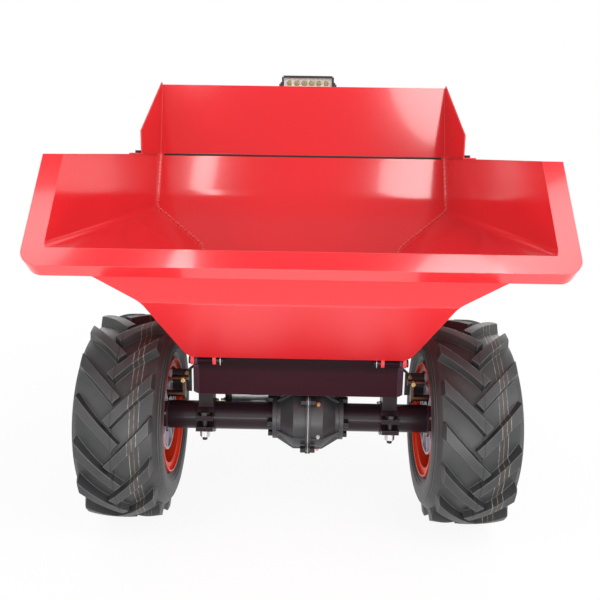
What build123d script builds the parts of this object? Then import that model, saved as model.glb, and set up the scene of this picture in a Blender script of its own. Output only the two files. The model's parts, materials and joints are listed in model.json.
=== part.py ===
from build123d import *
import math
import os

# Electric power barrow, in millimetres. While it is modelled, X is to the right,
# Y runs to the rear from the drive axle and Z is up from the ground. Heights follow the axle.

# How far cuts pass the faces they open, and the reach of cuts through the whole barrow
cut_past = 1.0
far = 2000.0

# Tyres and rims
tyre_od = 410.0
axle_z = tyre_od / 2
tyre_width = 165.0
tyre_wall = 9.0
bead_rise = 1.0
tread_width = 134.0
shoulder_inset = 14.0
shoulder_drop = 11.0
lug_height = 15.0
lug_count = 15
lug_width = 14.5
lug_draft_deg = 8.0
lug_sweep_deg = 24.0
lug_phase_deg = 4.1
lug_overlap = 8.0
lug_crown_drop = 5.0
rim_seat_d = 203.0
rim_flange_d = 232.0
rim_width = 137.0
rim_sheet = 3.5
rim_lip = 9.0
rim_well_depth = 17.0
rim_well_width = 68.0
rim_bevel = 12.0
rim_dish = 9.0
wheel_track = 662.0

# Hub, brake drum and wheel nuts
disc_thickness = 4.0
hub_hole_d = 62.0
stud_circle_d = 110.0
stud_count = 5
stud_d = 12.0
wheel_nut_across = 19.0
wheel_nut_height = 10.0
nut_seat_margin = 2.0
stud_proud = 3.0
hub_nut_d = 40.0
hub_nut_height = 12.0
drum_face_x = 322.0
drum_depth = 46.0
drum_od = 148.0
drum_wall = 6.0
drum_hub_d = 52.0
drum_hub_length = 30.0
half_shaft_d = 25.0
half_shaft_end = 14.0
half_shaft_gap = 0.5

# Axle tubes, brake backplates and brake arms
tube_od = 57.0
tube_wall = 5.0
tube_end_x = 263.0
tube_flange_d = 72.0
tube_flange_thickness = 7.0
bearing_width = 12.0
backplate_d = 144.0
backplate_thickness = 5.0
backplate_lip = 6.0
backplate_bore_d = 33.0
backplate_rib_count = 8
backplate_rib = 5.0
backplate_rib_gap = 2.0
shoe_thickness = 7.0
shoe_width = 26.0
shoe_span_deg = 140.0
shoe_clearance = 1.0
shoe_side_gap = 2.0
shoe_web_d = 65.0
anchor_d = 14.0
cam_radius = 45.0
cam_d = 13.4
arm_length = 34.0
arm_lean_deg = 5.0
arm_thickness = 5.0
arm_boss_wall = 4.0
arm_face_x = 229.0
trunnion_d = 13.0
trunnion_inner_x = 222.0
trunnion_outer_x = 256.0
trunnion_hole_d = 6.0
cable_d = 6.0
cable_bend_radius = 120.0
cable_bend_share = 0.48
wire_d = 2.5
wire_tail = 3.0
adjuster_d = 9.0
cable_stop_y = 35.0
cable_stop_thickness = 4.0
cable_stop_margin = 2.0
adjuster_tail = 8.0
cable_spacing = 12.0

# Brake cable routes, with heights above the axle: shared by both sides, up to the lever on the left,
# across from the right
cable_run = [(229.0, 60.0, 79.0), (222.5, 85.0, 80.5), (216.0, 125.0, 83.0), (210.0, 170.0, 86.5),
             (208.2, 230.0, 88.0), (208.3, 430.0, 88.5), (208.2, 569.0, 140.0)]
cable_rise = [(-204.2, 618.1, 225.0), (-204.2, 796.5, 535.0), (-233.0, 925.0, 631.0), (-249.0, 980.0, 662.0)]
cable_crossing = [(204.2, 618.1, 225.0), (204.2, 739.0, 435.0), (206.0, 775.0, 463.0), (150.0, 822.0, 523.0),
                  (60.0, 850.0, 570.0), (-100.0, 852.0, 571.5), (-165.0, 850.0, 568.0),
                  (-246.0, 945.0, 617.0), (-261.0, 984.0, 662.0)]

# Differential, gear housing and motor
diff_centre_x = 21.0
diff_half_length = 71.0
diff_flange_d = 90.0
diff_flange_thickness = 8.0
diff_neck_d = 84.0
diff_drum_d = 124.0
diff_drum_half = 29.0
diff_seam_d = 132.0
diff_seam_half = 5.0
diff_bolt_turns = (45, 90, 135, 225, 270, 315)
diff_bolt_circle_d = 142.0
diff_ear_d = 17.0
diff_bolt_d = 8.0
diff_bolt_head_d = 13.0
diff_bolt_head = 9.5
diff_rib_turns = (22.5, 67.5, 112.5, 202.5, 247.5, 292.5, 337.5)
diff_rib_thickness = 4.0
diff_rib_rise = 3.0
diff_rib_root = 4.0
diff_rib_end_drop = 1.0
flange_bolt_count = 4
flange_bolt_circle_d = 73.5
flange_bolt_head = 10.0
plug_turns = (43, -16, -72)
plug_x = 41.0
plug_d = 8.0
plug_height = 5.0
plug_sink = 1.0
plug_head_d = 6.0
plug_head = 3.0
motor_y = 97.0
motor_z = axle_z + 17.0
motor_d = 112.0
motor_drive_x = -62.0
motor_body_length = 77.0
motor_fin_length = 37.0
motor_cap_length = 15.0
motor_fin_count = 24
motor_fin_depth = 5.0
motor_fin_gap = 6.0
gear_case_d = 104.0
gear_case_length = 50.0
gear_nose_d = 82.0
gear_nose_y = 31.0

# Frame, front beam and axle clamps
rail_x = 185.0
rail_width = 40.0
rail_height = 60.0
rail_wall = 3.0
rail_corner_radius = 4.0
rail_top_z = axle_z + 118.0
rail_front_y = -32.0
rail_rear_y = 850.0
cross_width = 40.0
cross_y = (190.0, 595.0, 820.0)
beam_half_width = 207.0
beam_front_y = -52.0
beam_rear_y = 20.0
beam_bottom_z = axle_z + 63.5
beam_top_gap = 2.5
beam_sheet = 4.0
beam_end_chamfer = 14.0
beam_top_fold = 26.0
hanger_thickness = 8.0
hanger_width = 20.0
hanger_foot = 21.0
clamp_width = 34.0
clamp_length = 104.0
clamp_ring = 6.0
clamp_ear = 9.0
clamp_split = 14.0
clamp_neck_width = 29.0
clamp_neck_length = 46.0
clamp_bolt_d = 10.0
clamp_bolt_reach = 42.0
clamp_nut_across = 17.0
clamp_nut_height = 13.0
clamp_head_height = 7.0
clamp_thread_end = 7.0
tube_clearance = 0.1

# Skip
sheet = 3.0
skip_half_width = 385.0
rim_z = axle_z + 521.0
fold_z = axle_z + 383.0
mouth_top_y = -209.0
lip_y = -322.0
rear_top_y = 561.0
rear_bend_y = 497.0
crease_y = -291.0
crease_z = axle_z + 298.0
crease_half_width = 247.0
floor_z = axle_z + 146.0
floor_front_y = -80.0
floor_rear_y = 151.0
floor_half_width = 209.0
rear_bend_radius = 190.0
floor_rear_radius = 110.0
crease_radius = 14.0
floor_front_radius = 14.0
side_fold_radius = 24.0
wing_fold_radius = 22.0
floor_side_radius = 26.0
flange_width = 30.0
front_flange_width = 28.0
flange_corner_radius = 27.0
flange_return = 30.0
rim_flange_width = 28.0
profile_over = 200.0

# Headboard shield
shield_top_y = 615.0
shield_top_z = axle_z + 706.0
shield_front_y = 342.0
shield_knee_z = axle_z + 576.0
shield_peak = 5.0
shield_peak_inset = 12.0
shield_bolt_d = 8.0
shield_bolt_head_d = 14.0
shield_bolt_head = 6.0
shield_bolt_nut = 7.0
shield_bolt_proud = 4.0
shield_bolt_inset = 35.0

# Skip hinge
hinge_x = 182.0
hinge_y = -66.0
hinge_z = axle_z + 137.5
pin_d = 10.0
pin_head_d = 15.0
pin_head = 4.0
lug_plate = 6.5
lug_plate_radius = 9.0
lug_plate_rear = 12.0
lug_pair_spacing = 42.0
sleeve_d = 16.0
sleeve_side_gap = 0.6
pin_tail = 13.0
clip_wire_d = 2.0
clip_length = 17.0
clip_from_end = 5.0
clip_proud = 2.0
clip_bend_radius = 3.0
running_clearance = 0.05

# Skip latch and rest pads
latch_y = 470.0
latch_z = axle_z + 136.0
latch_shaft_d = 16.0
latch_block_length = 20.0
latch_block_wall = 8.0
latch_open_deg = 14.0
latch_plate = 10.0
latch_arm_width = 24.0
striker_y = 448.0
striker_z = axle_z + 315.0
striker_d = 12.0
striker_gap = 0.6
striker_half = 26.0
striker_plate = 6.0
latch_nose = 22.0
latch_nose_bevel = 6.0
latch_shaft_end = 5.0
latch_lever_x = -232.0
latch_lever_d = 12.0
latch_lever_back = 210.0
latch_lever_up = 259.0
latch_knob_d = 30.0
pad_y = 105.0
pad_length = 60.0
pad_width = 34.0
pad_gap = 0.3

# Batteries, tray, lid and motor controller
battery_count = 4
battery_width = 77.0
battery_length = 181.0
battery_height = 167.0
battery_gap = 2.0
terminal_d = 12.0
terminal_height = 7.0
terminal_inset = 26.0
tray_sheet = 2.0
tray_front_y = 612.0
tray_clearance = 5.0
tray_headroom = 18.0
lid_skirt = 22.0
lid_gap = 0.6
lid_hinge_d = 12.0
lid_pin_d = 6.0
lid_barrel_half = 60.0
lid_knuckle = 28.0
controller_length = 66.0
controller_width = 140.0
controller_height = 46.0
controller_y = 500.0
controller_fin_count = 7
controller_fin_depth = 14.0
shelf_z = axle_z + 95.0
shelf_sheet = 4.0
shelf_margin = 10.0

# Handlebar, console and controls
bar_d = 32.0
bar_wall = 2.5
bar_foot_y = 560.0
bar_foot_length = 70.0
bar_foot_thickness = 6.0
bar_top_y = 880.0
bar_top_z = axle_z + 680.0
grip_x = 255.0
grip_z = axle_z + 695.0
bar_turn_y = 985.0
bar_end_y = 1040.0
bar_top_radius = 80.0
bar_turn_radius = 60.0
stub_d = 22.2
stub_end_y = 1180.0
grip_d = 33.0
grip_length = 125.0
grip_flange_d = 44.0
grip_flange = 5.0
grip_end_d = 37.0
grip_groove_count = 8
grip_groove_first = 8.0
grip_groove_width = 4.0
grip_groove_depth = 1.5
perch_length = 26.0
perch_width = 40.0
perch_foot = 13.0
perch_cap = 5.0
throttle_body_length = 12.0
throttle_lug = 8.0
lever_drop = 33.0
lever_pivot_d = 8.0
lever_pivot_head = 3.0
lever_slot_reach = 13.0
lever_slot_half = 14.0
lever_length = 135.0
lever_width = 14.0
lever_thickness = 9.0
lever_boss_d = 18.0
lever_tip_side = 3.0
lever_travel_deg = 13.0
lever_from_end = 5.0
tie_z = axle_z + 595.0
tie_d = 25.0
console_half_width = 120.0
console_front_y = 815.0
console_rear_y = 985.0
console_top_z = axle_z + 683.0
console_slope_y = 925.0
console_rear_z = axle_z + 637.0
console_edge_radius = 6.0
key_x = -60.0
key_d = 20.0
key_height = 12.0
key_blade = 16.0
key_blade_width = 18.0
key_blade_thickness = 2.5
rocker_x = 45.0
rocker_d = 24.0
rocker_width = 18.0
rocker_end_rise = 8.0
rocker_mid_rise = 3.0
control_gap = 0.4

# Work lamp
lamp_x = 13.0
lamp_width = 160.0
lamp_height = 62.0
lamp_depth = 34.0
lamp_front_y = 877.0
lamp_top_z = axle_z + 762.0
lamp_bezel = 6.0
lamp_corner_radius = 7.0
lamp_recess = 12.0
lens_setback = 1.5
lens_thickness = 3.0
lamp_fin_count = 9
lamp_fin_depth = 10.0
lamp_fin_gap = 9.0
bracket_sheet = 4.0
bracket_gap = 0.5
bracket_width = 24.0
lamp_bolt_d = 8.0
lamp_bolt_depth = 6.0
lamp_bolt_head_d = 16.0

# Castors
castor_y = 690.0
castor_wheel_d = axle_z + 15.0
castor_tyre_width = 62.0
castor_bead_inset = 6.0
castor_tread_inset = 10.0
castor_tread_drop = 5.0
castor_hub_d = 124.0
castor_hub_width = 56.0
castor_rim_wall = 12.0
castor_web_recess = 16.0
castor_web_half = 6.0
castor_boss_wall = 9.0
castor_trail = 55.0
castor_plate_length = 104.0
castor_plate_width = 84.0
castor_plate_thickness = 6.0
castor_race_d = 78.0
castor_race_height = 9.0
castor_race_gap = 0.5
kingpin_d = 16.0
kingpin_nut_d = 26.0
kingpin_nut = 9.0
fork_top_thickness = 8.0
fork_neck_inset = 6.0
fork_leg_thickness = 6.0
fork_leg_gap = 5.0
fork_end_d = 38.0
castor_axle_d = 12.0
castor_axle_head_d = 20.0
castor_axle_head = 7.0
castor_bolt_across = 13.0
castor_bolt_head = 6.0
castor_bolt_inset = 13.0

# Sizes that follow from the ones above
wheel_x = wheel_track / 2
tube_r = tube_od / 2
tube_bore_r = tube_r - tube_wall
half_shaft_r = half_shaft_d / 2
backplate_x = tube_end_x + tube_flange_thickness
backplate_face_x = backplate_x + backplate_thickness
drum_open_x = drum_face_x - drum_depth
diff_left_x = diff_centre_x - diff_half_length
diff_right_x = diff_centre_x + diff_half_length
rail_bottom_z = rail_top_z - rail_height
rail_outer_x = rail_x + rail_width / 2
rail_inner_x = rail_x - rail_width / 2
beam_top_z = floor_z - beam_top_gap
clamp_top_z = axle_z + clamp_split / 2
clamp_low_z = axle_z - clamp_split / 2
cam_z = axle_z + cam_radius
arm_tip_y = -arm_length * math.sin(math.radians(arm_lean_deg))
arm_tip_z = cam_z + arm_length * math.cos(math.radians(arm_lean_deg))
cable_x = arm_face_x + arm_thickness / 2
pin_inner_x = hinge_x - lug_pair_spacing / 2 - lug_plate / 2 - pin_tail
mouth_length = math.hypot(mouth_top_y - lip_y, rim_z - fold_z)
shield_foot_z = rim_z
shield_lean = (shield_top_y - rear_top_y) / (shield_top_z - shield_foot_z)
tray_half = (battery_count * battery_width + (battery_count - 1) * battery_gap) / 2 + tray_clearance
tray_rear_y = tray_front_y + battery_length + 2 * tray_clearance
tray_top_z = rail_top_z + tray_sheet + battery_height + tray_headroom
lid_axis_y = tray_rear_y + tray_sheet + lid_hinge_d / 2 + lid_gap
lid_axis_z = tray_top_z + tray_sheet / 2
lamp_axis_y = lamp_front_y + lamp_depth / 2
lamp_axis_z = lamp_top_z - lamp_height / 2
grip_start_y = bar_end_y + throttle_body_length + control_gap
lever_axis_y = bar_end_y - lever_from_end
lever_axis_z = grip_z - lever_drop
castor_axle_z = castor_wheel_d / 2
castor_axle_y = castor_y + castor_trail
plate_bottom_z = rail_bottom_z - castor_plate_thickness
race_bottom_z = plate_bottom_z - castor_race_height
fork_top_z = race_bottom_z - castor_race_gap
fork_inner = castor_tyre_width / 2 + fork_leg_gap
bar_slope = (bar_top_y - bar_foot_y) / (bar_top_z - rail_top_z - bar_foot_thickness)
tie_y = bar_foot_y + bar_slope * (tie_z - rail_top_z - bar_foot_thickness)


# Shape helpers
def block(x0, x1, y0, y1, z0, z1):
    centre = Pos((x0 + x1) / 2, (y0 + y1) / 2, (z0 + z1) / 2)
    return centre * Box(x1 - x0, y1 - y0, z1 - z0)


def rod_x(x0, x1, y, z, d):
    return Pos((x0 + x1) / 2, y, z) * Rot(0, 90, 0) * Cylinder(d / 2, abs(x1 - x0))


def rod_y(x, y0, y1, z, d):
    return Pos(x, (y0 + y1) / 2, z) * Rot(90, 0, 0) * Cylinder(d / 2, abs(y1 - y0))


def rod_z(x, y, z0, z1, d):
    return Pos(x, y, (z0 + z1) / 2) * Cylinder(d / 2, abs(z1 - z0))


def hex_x(x0, x1, y, z, across):
    face = RegularPolygon(across / 2, 6, major_radius=False)
    return Pos(x0, y, z) * Rot(0, 90, 0) * extrude(face, x1 - x0)


def hex_z(x, y, z0, z1, across):
    face = RegularPolygon(across / 2, 6, major_radius=False)
    return Pos(x, y, z0) * extrude(face, z1 - z0)


def outline(*lines):
    return make_face([edge for line in lines for edge in line.edges()])


def polygon(*points):
    return make_face(Polyline(*points, close=True).edges())


# A profile drawn as distance along X and radius, spun about the axle line
def spun(face, x=0.0):
    return Pos(x, 0, axle_z) * revolve(face, Axis.X, 360)


def ring(x0, x1, d_in, d_out):
    return spun(polygon((x0, d_in / 2), (x1, d_in / 2), (x1, d_out / 2), (x0, d_out / 2)))


# A profile drawn as Y and Z, made thick along X
def slab_x(face, x0, x1):
    return Pos(x0, 0, 0) * extrude(Plane.YZ * face, x1 - x0, dir=(1, 0, 0))


# A profile drawn as X and Z, made thick along Y
def slab_y(face, y0, y1):
    return Pos(0, y0, 0) * extrude(Plane.XZ * face, y1 - y0, dir=(0, 1, 0))


def flipped(shape):
    return mirror(shape, about=Plane.YZ)


def both_sides(shape):
    return [shape, flipped(shape)]


def pipe(path, d, wall):
    start = Plane(origin=path @ 0, z_dir=path % 0)
    return sweep(start * (Circle(d / 2) - Circle(d / 2 - wall)), path)


def solid_rod(path, d):
    start = Plane(origin=path @ 0, z_dir=path % 0)
    return sweep(start * Circle(d / 2), path)


# Tyre: a hollow carcass, and staggered chevron lugs that point down at the front
def tyre_carcass():
    seat = rim_seat_d / 2
    crown = tyre_od / 2 - lug_height
    bead = rim_width / 2
    bead_top = rim_flange_d / 2 + bead_rise
    belly = (seat + crown) / 2
    shoulder = (tyre_width / 2 - shoulder_inset, crown - shoulder_drop)
    inner_bead = bead - tyre_wall
    inner_shoulder = (shoulder[0] - tyre_wall, shoulder[1] - tyre_wall)
    lines = []
    for side in (1, -1):
        lines.append(Polyline((side * inner_bead, seat), (side * bead, seat), (side * bead, bead_top)))
        lines.append(ThreePointArc((side * bead, bead_top), (side * tyre_width / 2, belly),
                                   (side * shoulder[0], shoulder[1])))
        lines.append(Line((side * inner_bead, seat), (side * inner_bead, bead_top)))
        lines.append(ThreePointArc((side * inner_bead, bead_top),
                                   (side * (tyre_width / 2 - tyre_wall), belly),
                                   (side * inner_shoulder[0], inner_shoulder[1])))
    lines.append(ThreePointArc(shoulder, (0, crown), (-shoulder[0], shoulder[1])))
    lines.append(ThreePointArc(inner_shoulder, (0, crown - tyre_wall),
                               (-inner_shoulder[0], inner_shoulder[1])))
    return revolve(outline(*lines), Axis.X, 360)


def lug_envelope():
    crown = tyre_od / 2 - lug_height
    top = (tread_width / 2, tyre_od / 2 - lug_crown_drop)
    foot = (top[0] + lug_crown_drop, crown - 2 * shoulder_drop)
    lines = [ThreePointArc(top, (0, tyre_od / 2), (-top[0], top[1])),
             ThreePointArc(foot, (0, crown - tyre_wall / 3), (-foot[0], foot[1]))]
    lines += [Line((side * foot[0], foot[1]), (side * top[0], top[1])) for side in (1, -1)]
    return revolve(outline(*lines), Axis.X, 360)


# One lug bar with drafted flanks, on the side that side gives, centred at angle_deg above the front
def lug_bar(side, angle_deg):
    turn = math.radians(angle_deg)
    outward = Vector(0, -math.cos(turn), math.sin(turn))
    upward = Vector(0, math.sin(turn), math.cos(turn))
    across = tread_width / 2 + 2 * lug_overlap
    climb = math.radians(lug_sweep_deg) * tyre_od / 2
    run = Vector(side * across, 0, 0) + upward * climb
    height = lug_height + 2 * shoulder_drop
    top = lug_width / 2
    foot = top + height * math.tan(math.radians(lug_draft_deg))
    section = polygon((-foot, 0), (foot, 0), (top, height), (-top, height))
    middle = Vector(side * tread_width / 4, 0, 0) + outward * (tyre_od / 2 + lug_crown_drop - height)
    plane = Plane(origin=middle, x_dir=outward.cross(run), z_dir=run)
    return extrude(plane * section, run.length / 2, both=True)


# The right tyre; outer lugs lead by half a pitch
def tyre():
    pitch = 360 / lug_count
    first = lug_phase_deg - lug_sweep_deg / 2
    bars = [lug_bar(1, first + step * pitch) for step in range(lug_count)]
    bars += [lug_bar(-1, first + (step + 0.5) * pitch) for step in range(lug_count)]
    rubber = tyre_carcass() + (lug_envelope() & (Part() + bars))
    return Pos(wheel_x, 0, axle_z) * rubber


# Rim with a drop centre, and a dished disc that bolts to the brake drum
def wheel_rim():
    seat = rim_seat_d / 2
    flange = rim_flange_d / 2
    half = rim_width / 2
    well = rim_well_width / 2
    well_r = seat - rim_well_depth
    outer = [(half + rim_lip, flange), (half, flange), (half, seat), (well + rim_bevel, seat),
             (well, well_r)]
    inner = [(half + rim_lip, flange - rim_sheet), (half + rim_sheet, flange - rim_sheet),
             (half + rim_sheet, seat - rim_sheet), (well + rim_bevel - rim_sheet / 2, seat - rim_sheet),
             (well - rim_sheet / 2, well_r - rim_sheet)]
    left_outer = [(-a, r) for a, r in reversed(outer)]
    left_inner = [(-a, r) for a, r in reversed(inner)]
    barrel = spun(polygon(*outer, *left_outer, *reversed(left_inner), *reversed(inner)), wheel_x)
    x0 = drum_face_x
    x1 = x0 + disc_thickness
    flat_r = stud_circle_d / 2 + wheel_nut_across / 2 + nut_seat_margin
    rim_r = well_r - rim_sheet / 2
    disc = spun(polygon((x0, hub_hole_d / 2), (x1, hub_hole_d / 2), (x1, flat_r),
                        (x1 + rim_dish, rim_r), (x0 + rim_dish, rim_r), (x0, flat_r)))
    for y, z in bolt_places(stud_count, stud_circle_d):
        disc -= rod_x(x0 - cut_past, x1 + cut_past, y, z, stud_d + 2 * tube_clearance)
    return barrel + disc


def places_at(turns, circle_d):
    arms = [math.radians(turn) for turn in turns]
    return [(circle_d / 2 * math.cos(arm), axle_z + circle_d / 2 * math.sin(arm)) for arm in arms]


def bolt_places(count, circle_d):
    return places_at([90 + step * 360 / count for step in range(count)], circle_d)


def brake_drum():
    face = drum_face_x
    web = face - drum_wall
    drum_r = drum_od / 2
    hub_r = drum_hub_d / 2
    hub_start = face - drum_hub_length
    bore_r = half_shaft_r + running_clearance
    body = spun(polygon((drum_open_x, drum_r - drum_wall), (web, drum_r - drum_wall), (web, hub_r),
                        (hub_start, hub_r), (hub_start, bore_r), (face, bore_r), (face, drum_r),
                        (drum_open_x, drum_r)))
    stud_end = face + disc_thickness + wheel_nut_height + stud_proud
    for y, z in bolt_places(stud_count, stud_circle_d):
        body += rod_x(web, stud_end, y, z, stud_d)
    return body


def wheel_nuts():
    start = drum_face_x + disc_thickness
    end = start + wheel_nut_height
    nuts = []
    for y, z in bolt_places(stud_count, stud_circle_d):
        hole = rod_x(start - cut_past, end + cut_past, y, z, stud_d + 2 * running_clearance)
        nuts.append(hex_x(start, end, y, z, wheel_nut_across) - hole)
    bore = half_shaft_d + 2 * running_clearance
    return nuts + [ring(drum_face_x, drum_face_x + hub_nut_height, bore, hub_nut_d)]


def half_shaft(inner_x):
    return rod_x(inner_x + half_shaft_gap, drum_face_x + half_shaft_end, 0, axle_z, half_shaft_d)


# Axle tube from a differential flange to the brake flange, on the right side
def axle_tube(inner_x):
    return (ring(inner_x, backplate_x, 2 * tube_bore_r, tube_od)
            + ring(tube_end_x, backplate_x, 2 * tube_bore_r, tube_flange_d))


def bearings(inner_x):
    bore = half_shaft_d + 2 * running_clearance
    starts = (inner_x + bearing_width, backplate_x - bearing_width)
    return [ring(x, x + bearing_width, bore, 2 * tube_bore_r) for x in starts]


# Brake backplate with a stiffening lip, ribs, shoe anchors and the cable stop
def backplate():
    plate_r = backplate_d / 2
    lip_x = backplate_x - backplate_lip
    plate = ring(backplate_x, backplate_face_x, backplate_bore_d, backplate_d)
    plate += ring(lip_x, backplate_x, backplate_d - 2 * backplate_thickness, backplate_d)
    rib = block(lip_x, backplate_x, tube_flange_d / 2 + backplate_rib_gap, plate_r - backplate_rib_gap,
                -backplate_rib / 2, backplate_rib / 2)
    for step in range(backplate_rib_count):
        turn = (step + 0.5) * 360 / backplate_rib_count
        plate += Pos(0, 0, axle_z) * Rot(turn, 0, 0) * rib
    plate += rod_x(backplate_face_x, backplate_face_x + shoe_width, 0, axle_z - cam_radius, anchor_d)
    plate -= rod_x(lip_x, backplate_face_x, 0, cam_z, cam_d + 2 * running_clearance)
    stop_rear = cable_stop_y + cable_stop_thickness
    stop_top = arm_tip_z + adjuster_d / 2 + cable_stop_margin
    stop = block(cable_x - adjuster_d, backplate_x, cable_stop_y, stop_rear,
                 axle_z + tube_r + adjuster_d, stop_top)
    stop -= rod_y(cable_x, cable_stop_y - cut_past, stop_rear + cut_past, arm_tip_z, adjuster_d)
    return plate + stop


def brake_shoes():
    outer = drum_od / 2 - drum_wall - shoe_clearance
    start = backplate_face_x + shoe_side_gap
    hoop = ring(start, start + shoe_width - shoe_side_gap, 2 * (outer - shoe_thickness), 2 * outer)
    reach = outer * math.tan(math.radians(shoe_span_deg / 2 - 45))
    keep = polygon((0, 0), (outer, -outer - reach), (2 * outer, 0), (outer, outer + reach))
    shoe = hoop & Pos(0, 0, axle_z) * slab_x(keep, start, start + shoe_width)
    web_half = math.sqrt((outer - shoe_thickness) ** 2 - (anchor_d / 2) ** 2)
    end = start + shoe_thickness
    web = block(start, end, anchor_d / 2, web_half, axle_z - cam_radius, axle_z + cam_radius)
    web &= ring(start, end, shoe_web_d, 2 * (outer - shoe_thickness / 2))
    shoe += web
    return [shoe, mirror(shoe, about=Plane.XZ)]


# Brake arm on its cam shaft, with the trunnion that the cable wire passes through
def brake_arm():
    x0 = arm_face_x
    x1 = x0 + arm_thickness
    ends = (Pos(0, cam_z) * Circle(cam_d / 2 + arm_boss_wall)).edges()
    ends += (Pos(arm_tip_y, arm_tip_z) * Circle(trunnion_d / 2)).edges()
    arm = slab_x(make_hull(ends), x0, x1)
    arm += rod_x(x0, backplate_face_x + shoe_width, 0, cam_z, cam_d)
    arm += rod_x(trunnion_inner_x, trunnion_outer_x, arm_tip_y, arm_tip_z, trunnion_d)
    return arm - rod_y(cable_x, arm_tip_y - trunnion_d, arm_tip_y + trunnion_d, arm_tip_z, trunnion_hole_d)


# The wire end at a brake arm: adjusting nut, bare wire and brass adjuster
def cable_end(side):
    x = side * cable_x
    front = arm_tip_y - trunnion_d / 2 - control_gap
    nut = rod_y(x, front - adjuster_d, front, arm_tip_z, adjuster_d)
    wire = rod_y(x, front - adjuster_d - wire_tail, cable_stop_y, arm_tip_z, wire_d)
    barrel_end = cable_stop_y + cable_stop_thickness + adjuster_tail
    barrel_d = adjuster_d - 2 * running_clearance
    return nut + wire + rod_y(x, cable_stop_y - adjuster_tail, barrel_end, arm_tip_z, barrel_d)


# Bends of the wanted radius, or as large as the straight runs on both sides allow
def bend_radii(points):
    radii = []
    for before, here, after in zip(points, points[1:], points[2:]):
        run_in = Vector(here) - Vector(before)
        run_out = Vector(after) - Vector(here)
        turn = math.radians(run_in.get_angle(run_out))
        room = cable_bend_share * min(run_in.length, run_out.length) / math.tan(turn / 2)
        radii.append(min(cable_bend_radius, room))
    return radii


# Cable from its stop at the wheel, along the rail, up the handlebar and to the lever perch
def brake_cable(side):
    start = (side * cable_x, cable_stop_y + cable_stop_thickness + adjuster_tail, arm_tip_z)
    end = (-grip_x - side * cable_spacing / 2, bar_end_y - perch_length, lever_axis_z)
    route = [(side * x, y, z) for x, y, z in cable_run] + (cable_crossing if side > 0 else cable_rise)
    points = [start] + [(x, y, axle_z + z) for x, y, z in route] + [end]
    radii = bend_radii(points)
    path = FilletPolyline(*points, radius=radii)
    print(f"brake cable {path.length:.0f} mm long, tightest bend {min(radii):.0f} mm")
    return [solid_rod(path, cable_d) + cable_end(side)]


# Differential: a cast case in two halves, spun about the axle line
def diff_shell(side):
    flange_x = diff_half_length - diff_flange_thickness
    profile = [(diff_half_length, 0), (diff_half_length, diff_flange_d / 2), (flange_x, diff_flange_d / 2),
               (flange_x, diff_neck_d / 2), (flange_x - diff_flange_thickness, diff_neck_d / 2),
               (diff_drum_half, diff_drum_d / 2), (diff_seam_half, diff_drum_d / 2),
               (diff_seam_half, diff_seam_d / 2), (0, diff_seam_d / 2), (0, 0)]
    return spun(polygon(*[(side * along, radius) for along, radius in profile]), diff_centre_x)


def diff_rib(side):
    flange_x = side * (diff_half_length - diff_flange_thickness)
    seam_x = side * diff_seam_half
    root = diff_drum_d / 2 - diff_rib_root
    crest = diff_drum_d / 2 + diff_rib_rise
    web = polygon((seam_x, root), (seam_x, crest), (side * diff_drum_half, crest),
                  (flange_x, diff_flange_d / 2 - diff_rib_end_drop),
                  (flange_x, diff_neck_d / 2 - diff_rib_root))
    return extrude(web, diff_rib_thickness / 2, both=True)


def diff_half(side):
    case = diff_shell(side)
    inner = diff_centre_x
    outer = diff_centre_x + side * diff_seam_half
    hole_d = diff_bolt_d + 2 * running_clearance
    for y, z in places_at(diff_bolt_turns, diff_bolt_circle_d):
        case += rod_x(inner, outer, y, z, diff_ear_d)
        case -= rod_x(inner - side * cut_past, outer + side * cut_past, y, z, hole_d)
    for turn in diff_rib_turns:
        case += Pos(diff_centre_x, 0, axle_z) * Rot(turn, 0, 0) * diff_rib(side)
    return case


def diff_bolts():
    bolts = []
    for y, z in places_at(diff_bolt_turns, diff_bolt_circle_d):
        left = diff_centre_x - diff_seam_half
        right = diff_centre_x + diff_seam_half
        bolts.append(rod_x(left, right, y, z, diff_bolt_d)
                     + hex_x(left - diff_bolt_head, left, y, z, diff_bolt_head_d)
                     + hex_x(right, right + diff_bolt_head, y, z, diff_bolt_head_d))
    for y, z in bolt_places(flange_bolt_count, flange_bolt_circle_d):
        bolts.append(hex_x(diff_left_x - flange_bolt_head, diff_left_x, y, z, diff_bolt_head_d))
        bolts.append(hex_x(diff_right_x, diff_right_x + flange_bolt_head, y, z, diff_bolt_head_d))
    return bolts


# Breather, filler and drain plugs on the right half, at angles above the front
def oil_plugs(case):
    plugs = []
    foot = diff_drum_d / 2 - plug_sink
    top = foot + plug_height
    plug = rod_z(0, 0, foot, top, plug_d)
    plug += Pos(0, 0, top) * extrude(RegularPolygon(plug_head_d / 2, 6), plug_head)
    for turn in plug_turns:
        plugs.append(Pos(plug_x, 0, axle_z) * Rot(90 - turn, 0, 0) * plug - case)
    return plugs


# Gear housing behind the case, and the motor that bolts to its left face
def gear_housing(case):
    ends = (Pos(motor_y, motor_z) * Circle(gear_case_d / 2)).edges()
    ends += (Pos(gear_nose_y, axle_z) * Circle(gear_nose_d / 2)).edges()
    housing = slab_x(make_hull(ends), motor_drive_x, motor_drive_x + gear_case_length)
    housing -= rod_x(motor_drive_x, diff_left_x, 0, axle_z, diff_flange_d)
    return housing - case


def drive_motor():
    x0 = motor_drive_x - motor_body_length
    body = rod_x(x0, motor_drive_x, motor_y, motor_z, motor_d)
    slot = block(motor_drive_x - motor_fin_length, motor_drive_x - motor_fin_gap,
                 motor_d / 2 - motor_fin_depth, motor_d / 2 + cut_past, -motor_fin_gap / 2, motor_fin_gap / 2)
    slots = Part()
    for step in range(motor_fin_count):
        slots += Rot(step * 360 / motor_fin_count, 0, 0) * slot
    return body - Pos(0, motor_y, motor_z) * slots


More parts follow.
